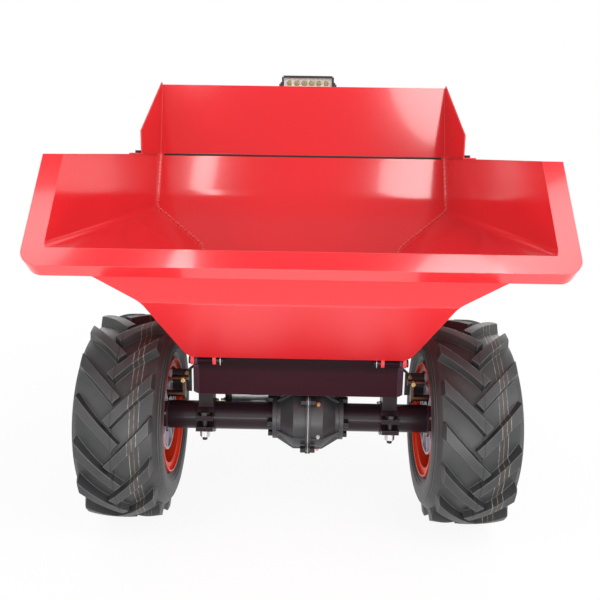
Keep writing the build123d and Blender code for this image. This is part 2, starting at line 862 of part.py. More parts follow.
def motor_end_cap():
    x1 = motor_drive_x - motor_body_length
    x0 = x1 - motor_cap_length
    cap = rod_x(x0, x1, motor_y, motor_z, motor_d - motor_fin_depth)
    return chamfer(cap.edges().filter_by(GeomType.CIRCLE).sort_by(Axis.X)[0], motor_fin_depth)


# Folded front beam: a front face with bevelled ends, a top fold, a seat on the rails and hinge sleeves
def front_beam():
    def plan(front, half, cut, rear):
        return polygon((-half, rear), (-half, front + cut), (-half + cut, front), (half - cut, front),
                       (half, front + cut), (half, rear))

    height = beam_top_z - beam_bottom_z
    inner_half = beam_half_width - beam_sheet
    face = plan(beam_front_y, beam_half_width, beam_end_chamfer, rail_front_y)
    hollow = plan(beam_front_y + beam_sheet, inner_half, beam_end_chamfer, rail_front_y)
    beam = Pos(0, 0, beam_bottom_z) * extrude(face - hollow, height)
    fold = plan(beam_front_y, beam_half_width, beam_end_chamfer, beam_front_y + beam_top_fold)
    beam += Pos(0, 0, beam_top_z - beam_sheet) * extrude(fold, beam_sheet)
    beam += block(-rail_outer_x, rail_outer_x, beam_front_y + beam_sheet, beam_rear_y, rail_top_z,
                  rail_top_z + beam_sheet)
    half_sleeve = (lug_pair_spacing - lug_plate) / 2 - sleeve_side_gap
    for side in (1, -1):
        x0 = side * hinge_x - half_sleeve
        x1 = side * hinge_x + half_sleeve
        beam += block(x0, x1, hinge_y, beam_front_y, hinge_z - sleeve_d / 2, beam_top_z)
        beam += rod_x(x0, x1, hinge_y, hinge_z, sleeve_d)
        beam -= rod_x(x0 - cut_past, x1 + cut_past, hinge_y, hinge_z, pin_d + 2 * running_clearance)
    return beam + axle_hangers()


def axle_hangers():
    straps = Part()
    for side in (1, -1):
        flange = diff_centre_x + side * (diff_half_length - diff_flange_thickness / 2)
        straps += block(flange - hanger_width / 2, flange + hanger_width / 2, -hanger_thickness / 2,
                        hanger_thickness / 2, axle_z + hanger_foot, rail_top_z)
    return straps - rod_x(diff_left_x - hanger_width, diff_right_x + hanger_width, 0, axle_z, diff_flange_d)


# Frame: two box rails, cross-members, controller shelf, latch bearings
def main_frame():
    frame = Part()
    bore_x = rail_width / 2 - rail_wall
    around = latch_shaft_d / 2 + latch_block_wall
    for side in (1, -1):
        x = side * rail_x
        rail = block(x - rail_width / 2, x + rail_width / 2, rail_front_y, rail_rear_y,
                     rail_bottom_z, rail_top_z)
        rail = fillet(rail.edges().filter_by(Axis.Y), rail_corner_radius)
        rail -= block(x - bore_x, x + bore_x, rail_front_y - cut_past, rail_rear_y - rail_wall,
                      rail_bottom_z + rail_wall, rail_top_z - rail_wall)
        frame += rail
        frame += block(x - latch_block_length / 2, x + latch_block_length / 2, latch_y - around,
                       latch_y + around, rail_top_z, latch_z + around)
    for y in cross_y:
        frame += block(-rail_inner_x, rail_inner_x, y - cross_width / 2, y + cross_width / 2,
                       rail_top_z - cross_width, rail_top_z)
    frame += block(-rail_inner_x, rail_inner_x, controller_y - shelf_margin,
                   controller_y + controller_length + shelf_margin, shelf_z - shelf_sheet, shelf_z)
    reach = rail_outer_x + cut_past
    return frame - rod_x(-reach, reach, latch_y, latch_z, latch_shaft_d + 2 * running_clearance)


# Axle clamps: a saddle with a neck under each rail and a strap below the tube, bolted at their ears
def clamp_half(x, z0, z1, ear_z):
    half = clamp_width / 2
    reach = clamp_length / 2
    ring_r = tube_od / 2 + clamp_ring
    hole_d = clamp_bolt_d + 2 * tube_clearance
    piece = rod_x(x - half, x + half, 0, axle_z, 2 * ring_r)
    piece &= block(x - half, x + half, -ring_r, ring_r, z0, z1)
    piece += block(x - half, x + half, -reach, reach, ear_z, ear_z + clamp_ear)
    for y in (-clamp_bolt_reach, clamp_bolt_reach):
        piece -= rod_z(x, y, ear_z - cut_past, ear_z + clamp_ear + cut_past, hole_d)
    return piece


def axle_clamps():
    half = clamp_width / 2
    neck_x = clamp_neck_width / 2
    neck_y = clamp_neck_length / 2
    pieces = []
    for x in (rail_x, -rail_x):
        bore = rod_x(x - half - cut_past, x + half + cut_past, 0, axle_z, tube_od + 2 * tube_clearance)
        saddle = clamp_half(x, clamp_top_z, rail_bottom_z, clamp_top_z)
        saddle += block(x - neck_x, x + neck_x, -neck_y, neck_y, clamp_top_z, rail_bottom_z)
        strap = clamp_half(x, 0, clamp_low_z, clamp_low_z - clamp_ear)
        pieces += [saddle - bore, strap - bore]
    return pieces


def clamp_bolts():
    top = clamp_top_z + clamp_ear
    foot = clamp_low_z - clamp_ear
    bolts = []
    for x in (rail_x, -rail_x):
        for y in (-clamp_bolt_reach, clamp_bolt_reach):
            bolt = rod_z(x, y, foot - clamp_nut_height - clamp_thread_end, top, clamp_bolt_d)
            bolt += hex_z(x, y, top, top + clamp_head_height, clamp_nut_across)
            bolts.append(bolt + hex_z(x, y, foot - clamp_nut_height, foot, clamp_nut_across))
    return bolts


# Skip tub: the space common to a side profile and a front profile, shelled, with flanges
def side_profile():
    rise = (lip_y - crease_y) / (fold_z - crease_z)
    lean = (rear_top_y - rear_bend_y) / (rim_z - fold_z)
    path = FilletPolyline((lip_y + rise * profile_over, fold_z + profile_over), (crease_y, crease_z),
                          (floor_front_y, floor_z), (floor_rear_y, floor_z), (rear_bend_y, fold_z),
                          (rear_top_y + lean * profile_over, rim_z + profile_over),
                          radius=[crease_radius, floor_front_radius, floor_rear_radius, rear_bend_radius])
    rear = path @ 1
    front = path @ 0
    high = rim_z + 2 * profile_over
    return outline(path, Polyline(rear, (rear.X, high), (front.X, high), front))


def front_profile():
    high = rim_z + 2 * profile_over
    half = FilletPolyline((skip_half_width, high), (skip_half_width, fold_z), (crease_half_width, crease_z),
                          (floor_half_width, floor_z), (0, floor_z),
                          radius=[side_fold_radius, wing_fold_radius, floor_side_radius])
    other = mirror(half, about=Plane.YZ)
    return outline(half, other, Line((skip_half_width, high), (-skip_half_width, high)))


def skip_space(inset=0.0):
    side_face = offset(side_profile(), -inset) if inset else side_profile()
    front_face = offset(front_profile(), -inset) if inset else front_profile()
    return slab_x(side_face, -far, far) & slab_y(front_face, -far, far)


def mouth_plane():
    along = Vector(0, mouth_top_y - lip_y, rim_z - fold_z).normalized()
    normal = Vector(1, 0, 0).cross(along)
    return Plane(origin=(0, lip_y, fold_z), x_dir=(1, 0, 0), z_dir=normal)


def mouth_outline(inset):
    half = skip_half_width + flange_width - inset
    low = -front_flange_width + inset
    top = mouth_length + sheet
    face = polygon((-half, top), (-half, low), (half, low), (half, top))
    return fillet(face.vertices().group_by(Axis.Y)[0], flange_corner_radius - inset)


def mouth_flange():
    plane = mouth_plane()
    inner = skip_half_width - sheet
    top = mouth_length + 2 * sheet
    mouth = polygon((-inner, top), (-inner, sheet), (inner, sheet), (inner, top))
    flange = extrude(plane * (mouth_outline(0) - mouth), -sheet)
    return flange + extrude(plane * (mouth_outline(0) - mouth_outline(sheet)), -flange_return)


def rim_flange():
    outer = skip_half_width + rim_flange_width
    rear = rear_top_y + rim_flange_width
    inner = skip_half_width - sheet
    plate = block(-outer, outer, mouth_top_y, rear, rim_z - sheet, rim_z)
    return plate - block(-inner, inner, mouth_top_y - cut_past, rear_top_y - sheet,
                         rim_z - 2 * sheet, rim_z + cut_past)


def skip_tub(space):
    tub = space - skip_space(sheet)
    tub &= block(-far, far, -far, far, 0, rim_z)
    tub -= mouth_plane() * Box(far, far, far, align=(Align.CENTER, Align.CENTER, Align.MIN))
    tub += mouth_flange() - block(-far, far, -far, far, rim_z, far)
    tub += rim_flange()
    for x, y in shield_bolt_places():
        tub -= rod_z(x, y, rim_z - sheet - cut_past, rim_z + cut_past, shield_bolt_d + 2 * running_clearance)
    return tub


# Headboard: a leaning back panel, two wings and an outward foot that bolts to the rim
def skip_shield():
    half = skip_half_width
    foot = shield_foot_z
    shield = slab_x(polygon((rear_top_y - sheet, foot), (rear_top_y, foot), (shield_top_y, shield_top_z),
                            (shield_top_y - sheet, shield_top_z)), -half, half)
    peak_y = shield_top_y + shield_lean * shield_peak - shield_peak_inset
    wing = polygon((shield_front_y, foot), (rear_top_y - sheet / 2, foot),
                   (shield_top_y - sheet / 2, shield_top_z), (peak_y, shield_top_z + shield_peak),
                   (shield_front_y, shield_knee_z))
    outer = half + rim_flange_width
    for side in (1, -1):
        edge = side * half
        shield += slab_x(wing, min(edge, edge - side * sheet), max(edge, edge - side * sheet))
        inner = edge - side * sheet
        shield += block(min(inner, side * outer), max(inner, side * outer), shield_front_y,
                        rear_top_y + rim_flange_width, foot, foot + sheet)
    shield += block(-outer, outer, rear_top_y - sheet, rear_top_y + rim_flange_width, foot, foot + sheet)
    for x, y in shield_bolt_places():
        shield -= rod_z(x, y, foot - cut_past, foot + sheet + cut_past, shield_bolt_d + 2 * running_clearance)
    return shield


def shield_bolt_places():
    x = skip_half_width + rim_flange_width / 2
    y = rear_top_y + rim_flange_width / 2
    sides = [(side * x, shield_front_y + shield_bolt_inset) for side in (1, -1)]
    sides += [(side * x, rear_top_y - shield_bolt_inset) for side in (1, -1)]
    return sides + [(side * skip_half_width / 2, y) for side in (1, -1)]


def shield_bolts():
    top = shield_foot_z + sheet
    under = rim_z - sheet
    nut_z = under - shield_bolt_nut
    bolts = []
    for x, y in shield_bolt_places():
        bolts.append(rod_z(x, y, nut_z - shield_bolt_proud, top, shield_bolt_d)
                     + hex_z(x, y, top, top + shield_bolt_head, shield_bolt_head_d)
                     + hex_z(x, y, nut_z, under, shield_bolt_head_d))
    return bolts


# Hinge lugs under the floor, their clevis pins and spring clips
def hinge_lugs(space):
    round_end = Pos(hinge_y, hinge_z) * Circle(lug_plate_radius)
    root = Line((hinge_y - lug_plate_radius, floor_z), (hinge_y + lug_plate_rear, floor_z))
    shape = make_hull(round_end.edges() + root.edges())
    lugs = []
    for side in (1, -1):
        for step in (-0.5, 0.5):
            x = side * hinge_x + step * lug_pair_spacing
            lug = slab_x(shape, x - lug_plate / 2, x + lug_plate / 2)
            lug -= rod_x(x - lug_plate, x + lug_plate, hinge_y, hinge_z, pin_d + 2 * running_clearance)
            lugs.append(lug - space)
    return lugs


def hinge_pins():
    outer = hinge_x + lug_pair_spacing / 2 + lug_plate / 2
    pin = rod_x(pin_inner_x, outer, hinge_y, hinge_z, pin_d)
    pin += rod_x(outer, outer + pin_head, hinge_y, hinge_z, pin_head_d)
    x = pin_inner_x + clip_from_end
    pin -= rod_z(x, hinge_y, hinge_z - pin_d, hinge_z + pin_d, clip_wire_d + 4 * tube_clearance)
    return both_sides(pin)


def hinge_clips():
    x = pin_inner_x + clip_from_end
    outside = hinge_y - pin_d / 2 - clip_wire_d / 2 - tube_clearance
    low = hinge_z - clip_length / 2
    high = hinge_z + pin_d / 2
    path = FilletPolyline((x, hinge_y, high + clip_proud), (x, hinge_y, low), (x, outside, low),
                          (x, outside, high), radius=clip_bend_radius)
    return both_sides(solid_rod(path, clip_wire_d))


# Latch: a hook on a cross shaft, worked by a side lever, drawn in its open place
def latch_hook():
    half = latch_arm_width / 2
    bar_top = striker_z + striker_d / 2 + striker_gap
    nose_y = striker_y - latch_nose / 2
    top = bar_top + latch_nose
    arm = polygon((latch_y - half, latch_z), (latch_y + half, latch_z), (latch_y + half, top),
                  (nose_y + latch_nose_bevel, top), (nose_y, bar_top), (latch_y - half, bar_top))
    hook = slab_x(arm, -latch_plate / 2, latch_plate / 2)
    hook += rod_x(-latch_plate, latch_plate, latch_y, latch_z, 2 * latch_shaft_d)
    closed = Pos(0, latch_y, latch_z) * Rot(-latch_open_deg, 0, 0) * Pos(0, -latch_y, -latch_z) * hook
    end_x = rail_x + latch_block_length / 2 + latch_shaft_end
    shaft = rod_x(latch_lever_x - latch_lever_d, end_x, latch_y, latch_z, latch_shaft_d)
    knob_y = latch_y + latch_lever_back
    knob_z = latch_z + latch_lever_up
    path = Line((latch_lever_x, latch_y, latch_z), (latch_lever_x, knob_y, knob_z))
    knob = Pos(latch_lever_x, knob_y, knob_z) * Sphere(latch_knob_d / 2)
    return closed + shaft + solid_rod(path, latch_lever_d) + knob


def latch_striker(space):
    bar = rod_x(-striker_half, striker_half, striker_y, striker_z, striker_d)
    wide = striker_d
    cheek = polygon((striker_y - wide, striker_z - wide), (striker_y + wide, striker_z - wide),
                    (striker_y + 2 * wide, fold_z), (striker_y - 2 * wide, fold_z))
    for side in (1, -1):
        inner = side * (striker_half - striker_plate)
        outer = side * striker_half
        bar += slab_x(cheek, min(inner, outer), max(inner, outer))
    return bar - space


def rest_pads():
    half = pad_width / 2
    pads = []
    for side in (1, -1):
        x = side * rail_x
        pads.append(block(x - half, x + half, pad_y - pad_length / 2, pad_y + pad_length / 2,
                          rail_top_z, floor_z - pad_gap))
    return pads


# Battery tray with hinge knuckles and pin, lid, batteries and motor controller
def battery_tray():
    outer = tray_half + tray_sheet
    tray = block(-outer, outer, tray_front_y - tray_sheet, tray_rear_y + tray_sheet, rail_top_z, tray_top_z)
    tray -= block(-tray_half, tray_half, tray_front_y, tray_rear_y, rail_top_z + tray_sheet,
                  tray_top_z + cut_past)
    reach = lid_barrel_half + lid_gap
    for side in (1, -1):
        near = side * reach
        away = side * (reach + lid_knuckle)
        low = min(near, away)
        high = max(near, away)
        tray += block(low, high, tray_rear_y + tray_sheet, lid_axis_y, lid_axis_z - lid_hinge_d / 2,
                      lid_axis_z)
        tray += rod_x(low, high, lid_axis_y, lid_axis_z, lid_hinge_d)
    return tray + rod_x(-reach, reach, lid_axis_y, lid_axis_z, lid_pin_d)


def battery_lid():
    inner = tray_half + tray_sheet + lid_gap
    outer = inner + tray_sheet
    front = tray_front_y - tray_sheet - lid_gap
    top = tray_top_z + lid_gap + tray_sheet
    rear = lid_axis_y - lid_hinge_d / 2 - lid_gap
    lid = block(-outer, outer, front - tray_sheet, rear, top - tray_sheet - lid_skirt, top)
    lid -= block(-inner, inner, front, rear + cut_past, top - 2 * tray_sheet - lid_skirt, top - tray_sheet)
    lid += block(-lid_barrel_half, lid_barrel_half, rear - tray_sheet, lid_axis_y, top - tray_sheet, top)
    lid += rod_x(-lid_barrel_half, lid_barrel_half, lid_axis_y, lid_axis_z, lid_hinge_d)
    reach = lid_barrel_half + cut_past
    return lid - rod_x(-reach, reach, lid_axis_y, lid_axis_z, lid_pin_d + 2 * running_clearance)


def batteries():
    cells = []
    step = battery_width + battery_gap
    first = -(battery_count - 1) * step / 2
    y0 = tray_front_y + tray_clearance
    z0 = rail_top_z + tray_sheet
    top = z0 + battery_height
    for n in range(battery_count):
        x = first + n * step
        cell = block(x - battery_width / 2, x + battery_width / 2, y0, y0 + battery_length, z0, top)
        for y in (y0 + terminal_inset, y0 + battery_length - terminal_inset):
            cell += rod_z(x, y, top, top + terminal_height, terminal_d)
        cells.append(cell)
    return cells


def motor_controller():
    half = controller_width / 2
    y1 = controller_y + controller_length
    top = shelf_z + controller_height
    box = block(-half, half, controller_y, y1, shelf_z, top)
    step = controller_width / controller_fin_count
    for n in range(controller_fin_count):
        x = -half + (n + 0.5) * step
        box -= block(x - step / 4, x + step / 4, controller_y - cut_past, y1 + cut_past,
                     top - controller_fin_depth, top + cut_past)
    return box


# Handlebar: two bent tubes on feet, a tie bar and slim ends for the grips
def handlebar():
    bar = Part()
    foot_z = rail_top_z + bar_foot_thickness
    for side in (1, -1):
        path = FilletPolyline((side * rail_x, bar_foot_y, foot_z), (side * rail_x, bar_top_y, bar_top_z),
                              (side * grip_x, bar_turn_y, grip_z), (side * grip_x, bar_end_y, grip_z),
                              radius=[bar_top_radius, bar_turn_radius])
        tube = pipe(path, bar_d, bar_wall)
        lower = Line((side * rail_x, bar_foot_y - bar_slope * bar_d, foot_z - bar_d), path @ 0)
        stump = pipe(lower, bar_d, bar_wall) - block(-rail_outer_x, rail_outer_x, 0, rail_rear_y, 0, foot_z)
        bar += tube - block(-rail_outer_x, rail_outer_x, 0, rail_rear_y, 0, foot_z)
        bar += stump
        bar += block(side * rail_x - rail_width / 2, side * rail_x + rail_width / 2,
                     bar_foot_y - bar_foot_length / 2, bar_foot_y + bar_foot_length / 2, rail_top_z, foot_z)
        bar += rod_y(side * grip_x, bar_end_y - bar_d / 4, stub_end_y, grip_z, stub_d)
        bar += rod_y(side * grip_x, bar_end_y - bar_d / 4, bar_end_y, grip_z, bar_d)
    tie = rod_x(-rail_x, rail_x, tie_y, tie_z, tie_d)
    for side in (1, -1):
        run = Line((side * rail_x, bar_foot_y, foot_z), (side * rail_x, bar_top_y, bar_top_z))
        tie -= solid_rod(run, bar_d - bar_wall)
    return bar + tie


def grip(side):
    x = side * grip_x
    start = grip_start_y
    end = start + grip_length
    body = rod_y(x, start, end, grip_z, grip_d)
    body += rod_y(x, start, start + grip_flange, grip_z, grip_flange_d)
    body += rod_y(x, end - grip_flange, end, grip_z, grip_end_d)
    step = (grip_length - 3 * grip_flange) / grip_groove_count
    for n in range(grip_groove_count):
        y = start + grip_flange + grip_groove_first + n * step
        groove = rod_y(x, y, y + grip_groove_width, grip_z, grip_d + cut_past)
        body -= groove - rod_y(x, y, y + grip_groove_width, grip_z, grip_d - 2 * grip_groove_depth)
    return body - rod_y(x, start - cut_past, end + cut_past, grip_z, stub_d + 2 * running_clearance)


# Clamps on the bar ends: the brake lever perch on the left and the throttle body on the right
def lever_perches():
    y0 = bar_end_y - perch_length
    half = perch_width / 2
    perch = block(-grip_x - half, -grip_x + half, y0, bar_end_y, lever_axis_z - perch_foot,
                  grip_z + bar_d / 2 + perch_cap)
    perch -= rod_y(-grip_x, y0 - cut_past, bar_end_y + cut_past, grip_z, bar_d + 2 * running_clearance)
    slot = lever_thickness / 2 + control_gap
    perch -= block(-grip_x - slot, -grip_x + slot, lever_axis_y - lever_slot_reach, bar_end_y + cut_past,
                   lever_axis_z - lever_slot_half, lever_axis_z + lever_slot_half)
    pivot_half = half + lever_pivot_head
    perch += rod_x(-grip_x - pivot_half, -grip_x + pivot_half, lever_axis_y, lever_axis_z, lever_pivot_d)
    end = bar_end_y + throttle_body_length
    body = rod_y(grip_x, bar_end_y, end, grip_z, grip_flange_d)
    body += block(grip_x - throttle_lug, grip_x + throttle_lug, bar_end_y, end,
                  grip_z - grip_flange_d / 2 - throttle_lug, grip_z)
    body -= rod_y(grip_x, bar_end_y - cut_past, end + cut_past, grip_z, stub_d + 2 * running_clearance)
    return [perch, body]


# The lever is drawn level, as when squeezed, then let down to its rest place
def brake_lever():
    x0 = -grip_x - lever_thickness / 2
    x1 = x0 + lever_thickness
    half = lever_width / 2
    tip_y = lever_axis_y + lever_length
    blade = polygon((lever_axis_y, lever_axis_z + half), (tip_y, lever_axis_z + half),
                    (tip_y, lever_axis_z - half / 2), (lever_axis_y + lever_length / 3, lever_axis_z - half),
                    (lever_axis_y, lever_axis_z - half))
    lever = slab_x(blade, x0, x1)
    lever += rod_x(x0, x1, lever_axis_y, lever_axis_z, lever_boss_d)
    lever += rod_x(x0 - lever_tip_side, x1 + lever_tip_side, tip_y, lever_axis_z, lever_width)
    lever -= rod_x(x0, x1, lever_axis_y, lever_axis_z, lever_pivot_d + 2 * running_clearance)
    pivot = Pos(0, lever_axis_y, lever_axis_z)
    return pivot * Rot(-lever_travel_deg, 0, 0) * Pos(0, -lever_axis_y, -lever_axis_z) * lever


# Control console on the tie bar, with a sloping face for the key and the direction rocker
def console_plane(x):
    along = Vector(0, console_slope_y - console_rear_y, console_top_z - console_rear_z).normalized()
    middle = Vector(x, (console_slope_y + console_rear_y) / 2, (console_top_z + console_rear_z) / 2)
    return Plane(origin=middle, x_dir=(1, 0, 0), z_dir=Vector(1, 0, 0).cross(along) * -1)


def control_console():
    foot = tie_z + tie_d / 2
    shape = polygon((console_front_y, foot), (console_rear_y, foot), (console_rear_y, console_rear_z),
                    (console_slope_y, console_top_z), (console_front_y, console_top_z))
    box = slab_x(shape, -console_half_width, console_half_width)
    box = fillet(box.edges().filter_by(Axis.X).sort_by(Axis.Z)[2:], console_edge_radius)
    pocket = Rot(0, 90, 0) * Cylinder(rocker_d / 2 + control_gap, rocker_width + 2 * control_gap)
    return box - console_plane(rocker_x) * pocket


def key_switch():
    foot = control_gap / 2
    top = foot + key_height
    barrel = rod_z(0, 0, foot, top, key_d)
    barrel += block(-key_blade_thickness / 2, key_blade_thickness / 2,
                    -key_blade_width / 2, key_blade_width / 2, top, top + key_blade)
    return console_plane(key_x) * barrel


def direction_switch():
    plane = console_plane(rocker_x)
    body = Rot(0, 90, 0) * Cylinder(rocker_d / 2, rocker_width)
    roof = polygon((-rocker_d, rocker_d), (-rocker_d, rocker_end_rise), (0, rocker_mid_rise),
                   (rocker_d, rocker_end_rise), (rocker_d, rocker_d))
    return plane * (body - slab_x(roof, -rocker_width, rocker_width))


# Work lamp: finned housing, lens and a forked bracket on the console
def lamp_head():
    half = lamp_width / 2
    z0 = lamp_top_z - lamp_height
    y1 = lamp_front_y + lamp_depth
    head = block(lamp_x - half, lamp_x + half, lamp_front_y, y1, z0, lamp_top_z)
    head = fillet(head.edges().filter_by(Axis.Y), lamp_corner_radius)
    head -= block(lamp_x - half + lamp_bezel, lamp_x + half - lamp_bezel, lamp_front_y - cut_past,
                  lamp_front_y + lamp_recess, z0 + lamp_bezel, lamp_top_z - lamp_bezel)
    step = (lamp_width - 4 * lamp_bezel) / lamp_fin_count
    for n in range(lamp_fin_count):
        x = lamp_x - half + 2 * lamp_bezel + (n + 0.5) * step
        head -= block(x - lamp_fin_gap / 2, x + lamp_fin_gap / 2, y1 - lamp_fin_depth, y1 + cut_past,
                      z0 - cut_past, lamp_top_z + cut_past)
    for side in (1, -1):
        face = lamp_x + side * half
        head -= rod_x(face - side * (lamp_bolt_depth + cut_past), face + side * cut_past, lamp_axis_y,
                      lamp_axis_z, lamp_bolt_d + 2 * running_clearance)
    return head


def lamp_lens():
    half = lamp_width / 2 - lamp_bezel
    y0 = lamp_front_y + lens_setback
    return block(lamp_x - half, lamp_x + half, y0, y0 + lens_thickness,
                 lamp_top_z - lamp_height + lamp_bezel, lamp_top_z - lamp_bezel)


def lamp_bracket():
    half = lamp_width / 2 + bracket_gap
    y0 = lamp_axis_y - bracket_width / 2
    y1 = lamp_axis_y + bracket_width / 2
    outer = half + bracket_sheet
    yoke = block(lamp_x - outer, lamp_x + outer, y0, y1, console_top_z, console_top_z + bracket_sheet)
    for side in (1, -1):
        near = lamp_x + side * half
        away = lamp_x + side * outer
        yoke += block(min(near, away), max(near, away), y0, y1, console_top_z,
                      lamp_axis_z + bracket_width / 2)
        yoke += rod_x(near - side * lamp_bolt_depth, away, lamp_axis_y, lamp_axis_z, lamp_bolt_d)
        yoke += rod_x(away, away + side * bracket_sheet, lamp_axis_y, lamp_axis_z, lamp_bolt_head_d)
    return yoke


# Castors: a bolted plate with kingpin, a swivel fork that trails to the rear, and a wheel
def castor_plate():
    x0 = rail_x - castor_plate_width / 2
    x1 = rail_x + castor_plate_width / 2
    y0 = castor_y - castor_plate_length / 2
    y1 = castor_y + castor_plate_length / 2
    plate = block(x0, x1, y0, y1, plate_bottom_z, rail_bottom_z)
    plate += rod_z(rail_x, castor_y, race_bottom_z, plate_bottom_z, castor_race_d)
    nut_top = fork_top_z - fork_top_thickness - castor_race_gap
    plate += rod_z(rail_x, castor_y, nut_top - kingpin_nut, race_bottom_z, kingpin_d)
    plate += rod_z(rail_x, castor_y, nut_top - kingpin_nut, nut_top, kingpin_nut_d)
    for x in (x0 + castor_bolt_inset, x1 - castor_bolt_inset):
        for y in (y0 + castor_bolt_inset, y1 - castor_bolt_inset):
            plate += hex_z(x, y, plate_bottom_z - castor_bolt_head, plate_bottom_z, castor_bolt_across)
    return plate


def castor_fork():
    crown = rod_z(rail_x, castor_y, fork_top_z - fork_top_thickness, fork_top_z, castor_race_d)
    reach = fork_inner + fork_leg_thickness
    top = fork_top_z
    neck = castor_race_d / 2 - fork_neck_inset
    crown += block(rail_x - reach, rail_x + reach, castor_y - neck / 2, castor_y + neck,
                   top - fork_top_thickness, top)
    ends = (Pos(castor_axle_y, castor_axle_z) * Circle(fork_end_d / 2)).edges()
    ends += Polyline((castor_y - neck / 2, top), (castor_y + neck, top)).edges()
    leg = slab_x(make_hull(ends), rail_x + fork_inner, rail_x + reach)
    other = slab_x(make_hull(ends), rail_x - reach, rail_x - fork_inner)
    fork = crown + leg + other
    fork -= rod_z(rail_x, castor_y, 0, top + cut_past, kingpin_d + 2 * running_clearance)
    axle = rod_x(rail_x - reach, rail_x + reach, castor_axle_y, castor_axle_z, castor_axle_d)
    for side in (1, -1):
        axle += rod_x(rail_x + side * reach, rail_x + side * (reach + castor_axle_head), castor_axle_y,
                      castor_axle_z, castor_axle_head_d)
    return fork + axle


def castor_spun(face):
    return Pos(rail_x, castor_axle_y, castor_axle_z) * revolve(face, Axis.X, 360)


def castor_tyre():
    half = castor_tyre_width / 2
    seat = castor_hub_d / 2
    top = castor_wheel_d / 2
    bulge = (seat + top) / 2
    bead = half - castor_bead_inset
    tread = half - castor_tread_inset
    edge = top - castor_tread_drop
    lines = [Line((-bead, seat), (bead, seat)), ThreePointArc((tread, edge), (0, top), (-tread, edge))]
    for side in (1, -1):
        lines.append(ThreePointArc((side * bead, seat), (side * half, bulge), (side * tread, edge)))
    return castor_spun(outline(*lines))


def castor_hub():
    half = castor_hub_width / 2
    seat = castor_hub_d / 2
    bore = castor_axle_d / 2 + running_clearance
    boss = castor_axle_d / 2 + castor_boss_wall
    boss_half = fork_inner - control_gap
    rim_r = seat - castor_rim_wall
    web_r = seat - castor_web_recess
    right = [(boss_half, bore), (boss_half, boss), (castor_web_half, boss), (castor_web_half, web_r),
             (half, rim_r), (half, seat)]
    left = [(-along, radius) for along, radius in reversed(right)]
    return castor_spun(polygon(*right, *left))


# Every node, by name
def build_nodes():
    nodes = {}
    right_tyre = tyre()
    right_rim = wheel_rim()
    right_drum = brake_drum()
    right_nuts = wheel_nuts()
    left_case = diff_half(-1)
    right_case = diff_half(1)
    space = skip_space()
    for side, name in ((1, "right"), (-1, "left")):
        turn = (lambda shape: shape) if side > 0 else flipped
        inner_x = diff_right_x if side > 0 else -diff_left_x
        nodes["tyre_" + name] = [turn(right_tyre)]
        nodes["rim_" + name] = [turn(right_rim)]
        nodes["drum_" + name] = [turn(right_drum)]
        nodes["wheel_nuts_" + name] = [turn(nut) for nut in right_nuts]
        nodes["half_shaft_" + name] = [turn(half_shaft(inner_x))]
        nodes["brake_arm_" + name] = [turn(brake_arm())]
        nodes["brake_cable_" + name] = brake_cable(side)
        nodes["castor_fork_" + name] = [turn(castor_fork())]
        nodes["castor_tyre_" + name] = [turn(castor_tyre())]
        nodes["castor_hub_" + name] = [turn(castor_hub())]
    nodes["axle_tubes"] = [axle_tube(diff_right_x), flipped(axle_tube(-diff_left_x))]
    nodes["axle_bearings"] = bearings(diff_right_x) + [flipped(ball) for ball in bearings(-diff_left_x)]
    nodes["brake_backplates"] = both_sides(backplate())
    nodes["brake_shoes"] = brake_shoes() + [flipped(shoe) for shoe in brake_shoes()]
    nodes["diff_case_left"] = [left_case]
    nodes["diff_case_right"] = [right_case]
    nodes["diff_bolts"] = diff_bolts()
    nodes["oil_plugs"] = oil_plugs(right_case)
    nodes["gear_housing"] = [gear_housing(left_case)]
    nodes["drive_motor"] = [drive_motor()]
    nodes["motor_end_cap"] = [motor_end_cap()]
    nodes["main_frame"] = [main_frame()]
    nodes["front_beam"] = [front_beam()]
    nodes["axle_clamps"] = axle_clamps()
    nodes["clamp_bolts"] = clamp_bolts()
    nodes["skip_tub"] = [skip_tub(space)]
    nodes["skip_shield"] = [skip_shield()]
    nodes["shield_bolts"] = shield_bolts()
    nodes["hinge_lugs"] = hinge_lugs(space)
    nodes["hinge_pins"] = hinge_pins()
    nodes["hinge_clips"] = hinge_clips()
    nodes["latch_hook"] = [latch_hook()]
    nodes["latch_striker"] = [latch_striker(space)]
    nodes["rest_pads"] = rest_pads()
    nodes["battery_tray"] = [battery_tray()]
    nodes["battery_lid"] = [battery_lid()]
    nodes["batteries"] = batteries()
    nodes["motor_controller"] = [motor_controller()]
    nodes["handlebar"] = [handlebar()]
    nodes["grip_left"] = [grip(-1)]
    nodes["throttle_grip"] = [grip(1)]
    nodes["lever_perches"] = lever_perches()
    nodes["brake_lever"] = [brake_lever()]
    nodes["control_console"] = [control_console()]
    nodes["key_switch"] = [key_switch()]
    nodes["direction_switch"] = [direction_switch()]
    nodes["lamp_bracket"] = [lamp_bracket()]
    nodes["lamp_head"] = [lamp_head()]
    nodes["lamp_lens"] = [lamp_lens()]
    nodes["castor_plates"] = both_sides(castor_plate())
    return nodes


# The origin is on the ground, under the middle of the whole barrow
def write_parts():
    nodes = build_nodes()
    shapes = {name: Compound(label=name, children=[solid for piece in pieces for solid in piece.solids()])
              for name, pieces in nodes.items()}
    lows = [shape.bounding_box().min.Y for shape in shapes.values()]
    highs = [shape.bounding_box().max.Y for shape in shapes.values()]
    middle = (min(lows) + max(highs)) / 2
    os.makedirs("parts", exist_ok=True)
    for name, shape in shapes.items():
        export_step(Pos(0, -middle, 0) * shape, f"parts/{name}.step")
    print(f"{len(shapes)} nodes, axle at Y {-middle:.2f}")


write_parts()
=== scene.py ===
import json
import math

import bmesh
import bpy
from mathutils import Matrix, Vector


